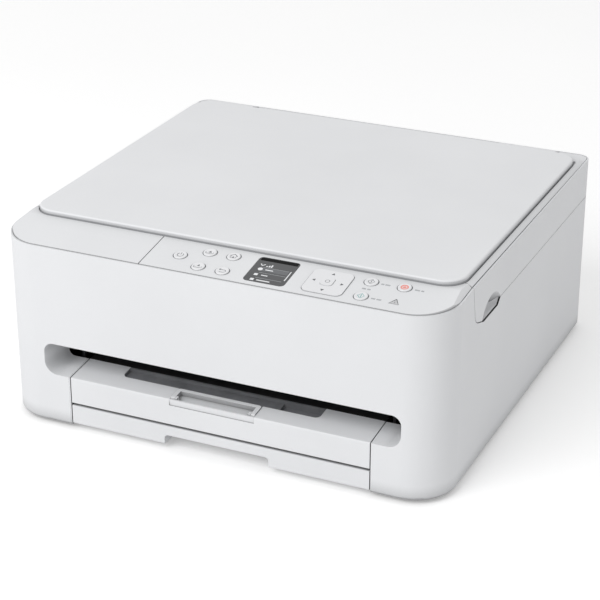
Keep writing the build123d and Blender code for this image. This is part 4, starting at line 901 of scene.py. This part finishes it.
def bowl_floor_row(side, y):
    """From the bowl's back out to the shell's edge, rounded where it meets the bowl."""
    z = dip_height(y) + GRIP_FLOOR_RISE
    room = GRIP_RADIUS**2 - (y - GRIP_CENTRE.y) ** 2 - (z - GRIP_CENTRE.z) ** 2
    inner = min(GRIP_CENTRE.x - math.sqrt(max(room, 0)), GRIP_FLOOR_X)
    row = []
    for step in range(GRIP_FLOOR_ROW_STEPS + 1):
        share = step / GRIP_FLOOR_ROW_STEPS
        x = inner + (GRIP_FLOOR_X - inner) * share
        rise = GRIP_FLOOR_ROUNDING * (GRIP_FLOOR_X - inner) * (1 - share) ** 3
        row.append(Vector((side * x, y, z + rise)) * MM)
    return row[::side]


def bowl_floor(side):
    """The rows of a finger bowl's floor, from its front end to its rear end."""
    depth = GRIP_CENTRE.x - GRIP_FLOOR_X
    reach = math.sqrt(GRIP_RADIUS**2 - depth**2 - GRIP_FLOOR_ENDS_UP**2)
    steps = range(2 * GRIP_FLOOR_HALF_STEPS)
    along = [GRIP_CENTRE.y + reach * (step / GRIP_FLOOR_HALF_STEPS - 1) for step in steps]
    return [bowl_floor_row(side, y) for y in along]


def grip_shade_strip(side):
    """The rows of the dark strip of painted shade that lies on the shell's edge below a bowl."""
    front, rear = ((y, dip_height(y)) for y in GRIP_SHADE_STRIP_Y)
    rows = []
    for y, z in [front] + GRIP_DIP[1:3] + [rear]:
        row = [Vector((side * x, y, z + GRIP_SHADE_STRIP_RISE)) * MM for x in GRIP_SHADE_STRIP_X]
        rows.append(row[::side])
    return rows


def fit_grips(finishes):
    for side, hand in ((1, "right"), (-1, "left")):
        floor_name = hand + "_grip_floor"
        ribbon(floor_name, bowl_floor(side), GRIP_FLOOR_WALL, finishes["keys"], "scanner_unit")
        shade_strip_name = hand + "_grip_shade_strip"
        # The strip under each bowl paints the shade line at the shell's edge.
        dark = finishes["outlet"]
        ribbon(shade_strip_name, grip_shade_strip(side), GRIP_SHADE_STRIP_WALL, dark, "printer_body")


def hang_cover_skirt(finishes):
    """The cover's low grey seal, round its front and both sides, whose grey paints the shade in the
    gap under the cover's edge.
    """
    half_w = COVER_HALF_W - SKIRT_SET_IN
    front = COVER_FRONT_Y + SKIRT_SET_IN
    corner = COVER_CORNER - SKIRT_SET_IN
    line = [(-half_w, COVER_BACK_Y)]
    line += arc(corner, 180, 270, SKIRT_CORNER_STEPS, (corner - half_w, front + corner))
    line += arc(corner, 270, 360, SKIRT_CORNER_STEPS, (half_w - corner, front + corner))
    line.append((half_w, COVER_BACK_Y))
    heights = (WELL_FLOOR_Z + SKIRT_CLEARANCE, COVER_UNDER_Z)
    rows = [[Vector((x, y, z)) * MM for z in heights] for x, y in line]
    ribbon("cover_skirt", rows, SKIRT_WALL, finishes["seal"], "cover")


def seen_directly(tree):
    """1 for what the camera sees by itself, through glass or in a reflection, else 0."""
    ray = tree.nodes.new("ShaderNodeLightPath")
    clear = tree.nodes.new("ShaderNodeMath")
    clear.operation = "MAXIMUM"
    link(tree, ray, "Is Camera Ray", clear, 0)
    link(tree, ray, "Is Transmission Ray", clear, 1)
    any_way = tree.nodes.new("ShaderNodeMath")
    any_way.operation = "MAXIMUM"
    link(tree, clear, "Value", any_way, 0)
    link(tree, ray, "Is Glossy Ray", any_way, 1)
    return any_way


def either(tree, gate, dark, bright):
    """One shader where the gate is 0 and the other where it is 1."""
    chosen = tree.nodes.new("ShaderNodeMixShader")
    link(tree, gate, "Value", chosen, "Fac")
    tree.links.new(dark.outputs[0], chosen.inputs[1])
    tree.links.new(bright.outputs[0], chosen.inputs[2])
    return chosen


def floor_finish():
    """A pale floor that the camera sees as white, and that still takes the printer's shadow."""
    material = bpy.data.materials.new("pale_floor")
    material.use_nodes = True
    tree = material.node_tree
    surface = tree.nodes["Principled BSDF"]
    tone = drifting(tree, noise(tree, FLOOR_CLOUD, FLOOR_DETAIL), FLOOR_TONES)
    tree.links.new(tone, surface.inputs["Base Color"])
    surface.inputs["Roughness"].default_value = FLOOR_ROUGH
    glow = tree.nodes.new("ShaderNodeEmission")
    glow.inputs["Strength"].default_value = FLOOR_GLOW
    dark = tree.nodes.new("ShaderNodeEmission")
    dark.inputs["Strength"].default_value = 0.0
    both = tree.nodes.new("ShaderNodeAddShader")
    tree.links.new(surface.outputs["BSDF"], both.inputs[0])
    tree.links.new(either(tree, seen_directly(tree), dark, glow).outputs[0], both.inputs[1])
    link(tree, both, "Shader", tree.nodes["Material Output"], "Surface")
    return material


def lay_floor():
    half = FLOOR_HALF
    corners = [(-half, -half, 0), (half, -half, 0), (half, half, 0), (-half, half, 0)]
    mesh = bpy.data.meshes.new("floor")
    mesh.from_pydata(corners, [], [(0, 1, 2, 3)])
    mesh.materials.append(floor_finish())
    floor = placed("floor", mesh)


def light_world():
    """Even light from all round, and plain white where the camera looks past the printer."""
    world = bpy.data.worlds.new("studio")
    bpy.context.scene.world = world
    world.use_nodes = True
    tree = world.node_tree
    sky = tree.nodes["Background"]
    sky.inputs["Color"].default_value = (1, 1, 1, 1)
    sky.inputs["Strength"].default_value = AMBIENT
    white = tree.nodes.new("ShaderNodeBackground")
    white.inputs["Color"].default_value = (1, 1, 1, 1)
    white.inputs["Strength"].default_value = 1.0
    both = either(tree, seen_directly(tree), sky, white)
    link(tree, both, "Shader", tree.nodes["World Output"], "Surface")


def hang_lamp():
    """One wide soft lamp, turned towards the printer."""
    lamp = bpy.data.lights.new("front_softbox", "AREA")
    lamp.shape = "RECTANGLE"
    lamp.size, lamp.size_y = LAMP_SIZE
    lamp.energy = LAMP_WATTS
    turn = (Vector(LAMP_AT) - Vector(LAMP_AIM)).to_track_quat("Z", "Y")
    holder = placed("front_softbox", lamp)
    holder.matrix_world = Matrix.Translation(LAMP_AT) @ turn.to_matrix().to_4x4()


def aim_camera():
    """The photograph's view."""
    camera = bpy.data.cameras.new("camera")
    camera.sensor_fit = "HORIZONTAL"
    camera.sensor_width = CAMERA_SENSOR
    camera.lens = CAMERA_LENS
    holder = placed("camera", camera)
    holder.location = CAMERA_AT
    holder.rotation_euler = (math.radians(90 - CAMERA_UP), 0, math.radians(CAMERA_ROUND))
    bpy.context.scene.camera = holder


def build_scene():
    finishes = make_finishes()
    dress_cad_nodes(finishes)
    paint_gap_shade_rings(finishes)
    print_keys(finishes)
    print_panel(finishes)
    print_screen(finishes)
    fit_grips(finishes)
    hang_cover_skirt(finishes)
    lay_floor()
    light_world()
    hang_lamp()
    aim_camera()
    bpy.context.scene.view_settings.view_transform = "Standard"


build_scene()
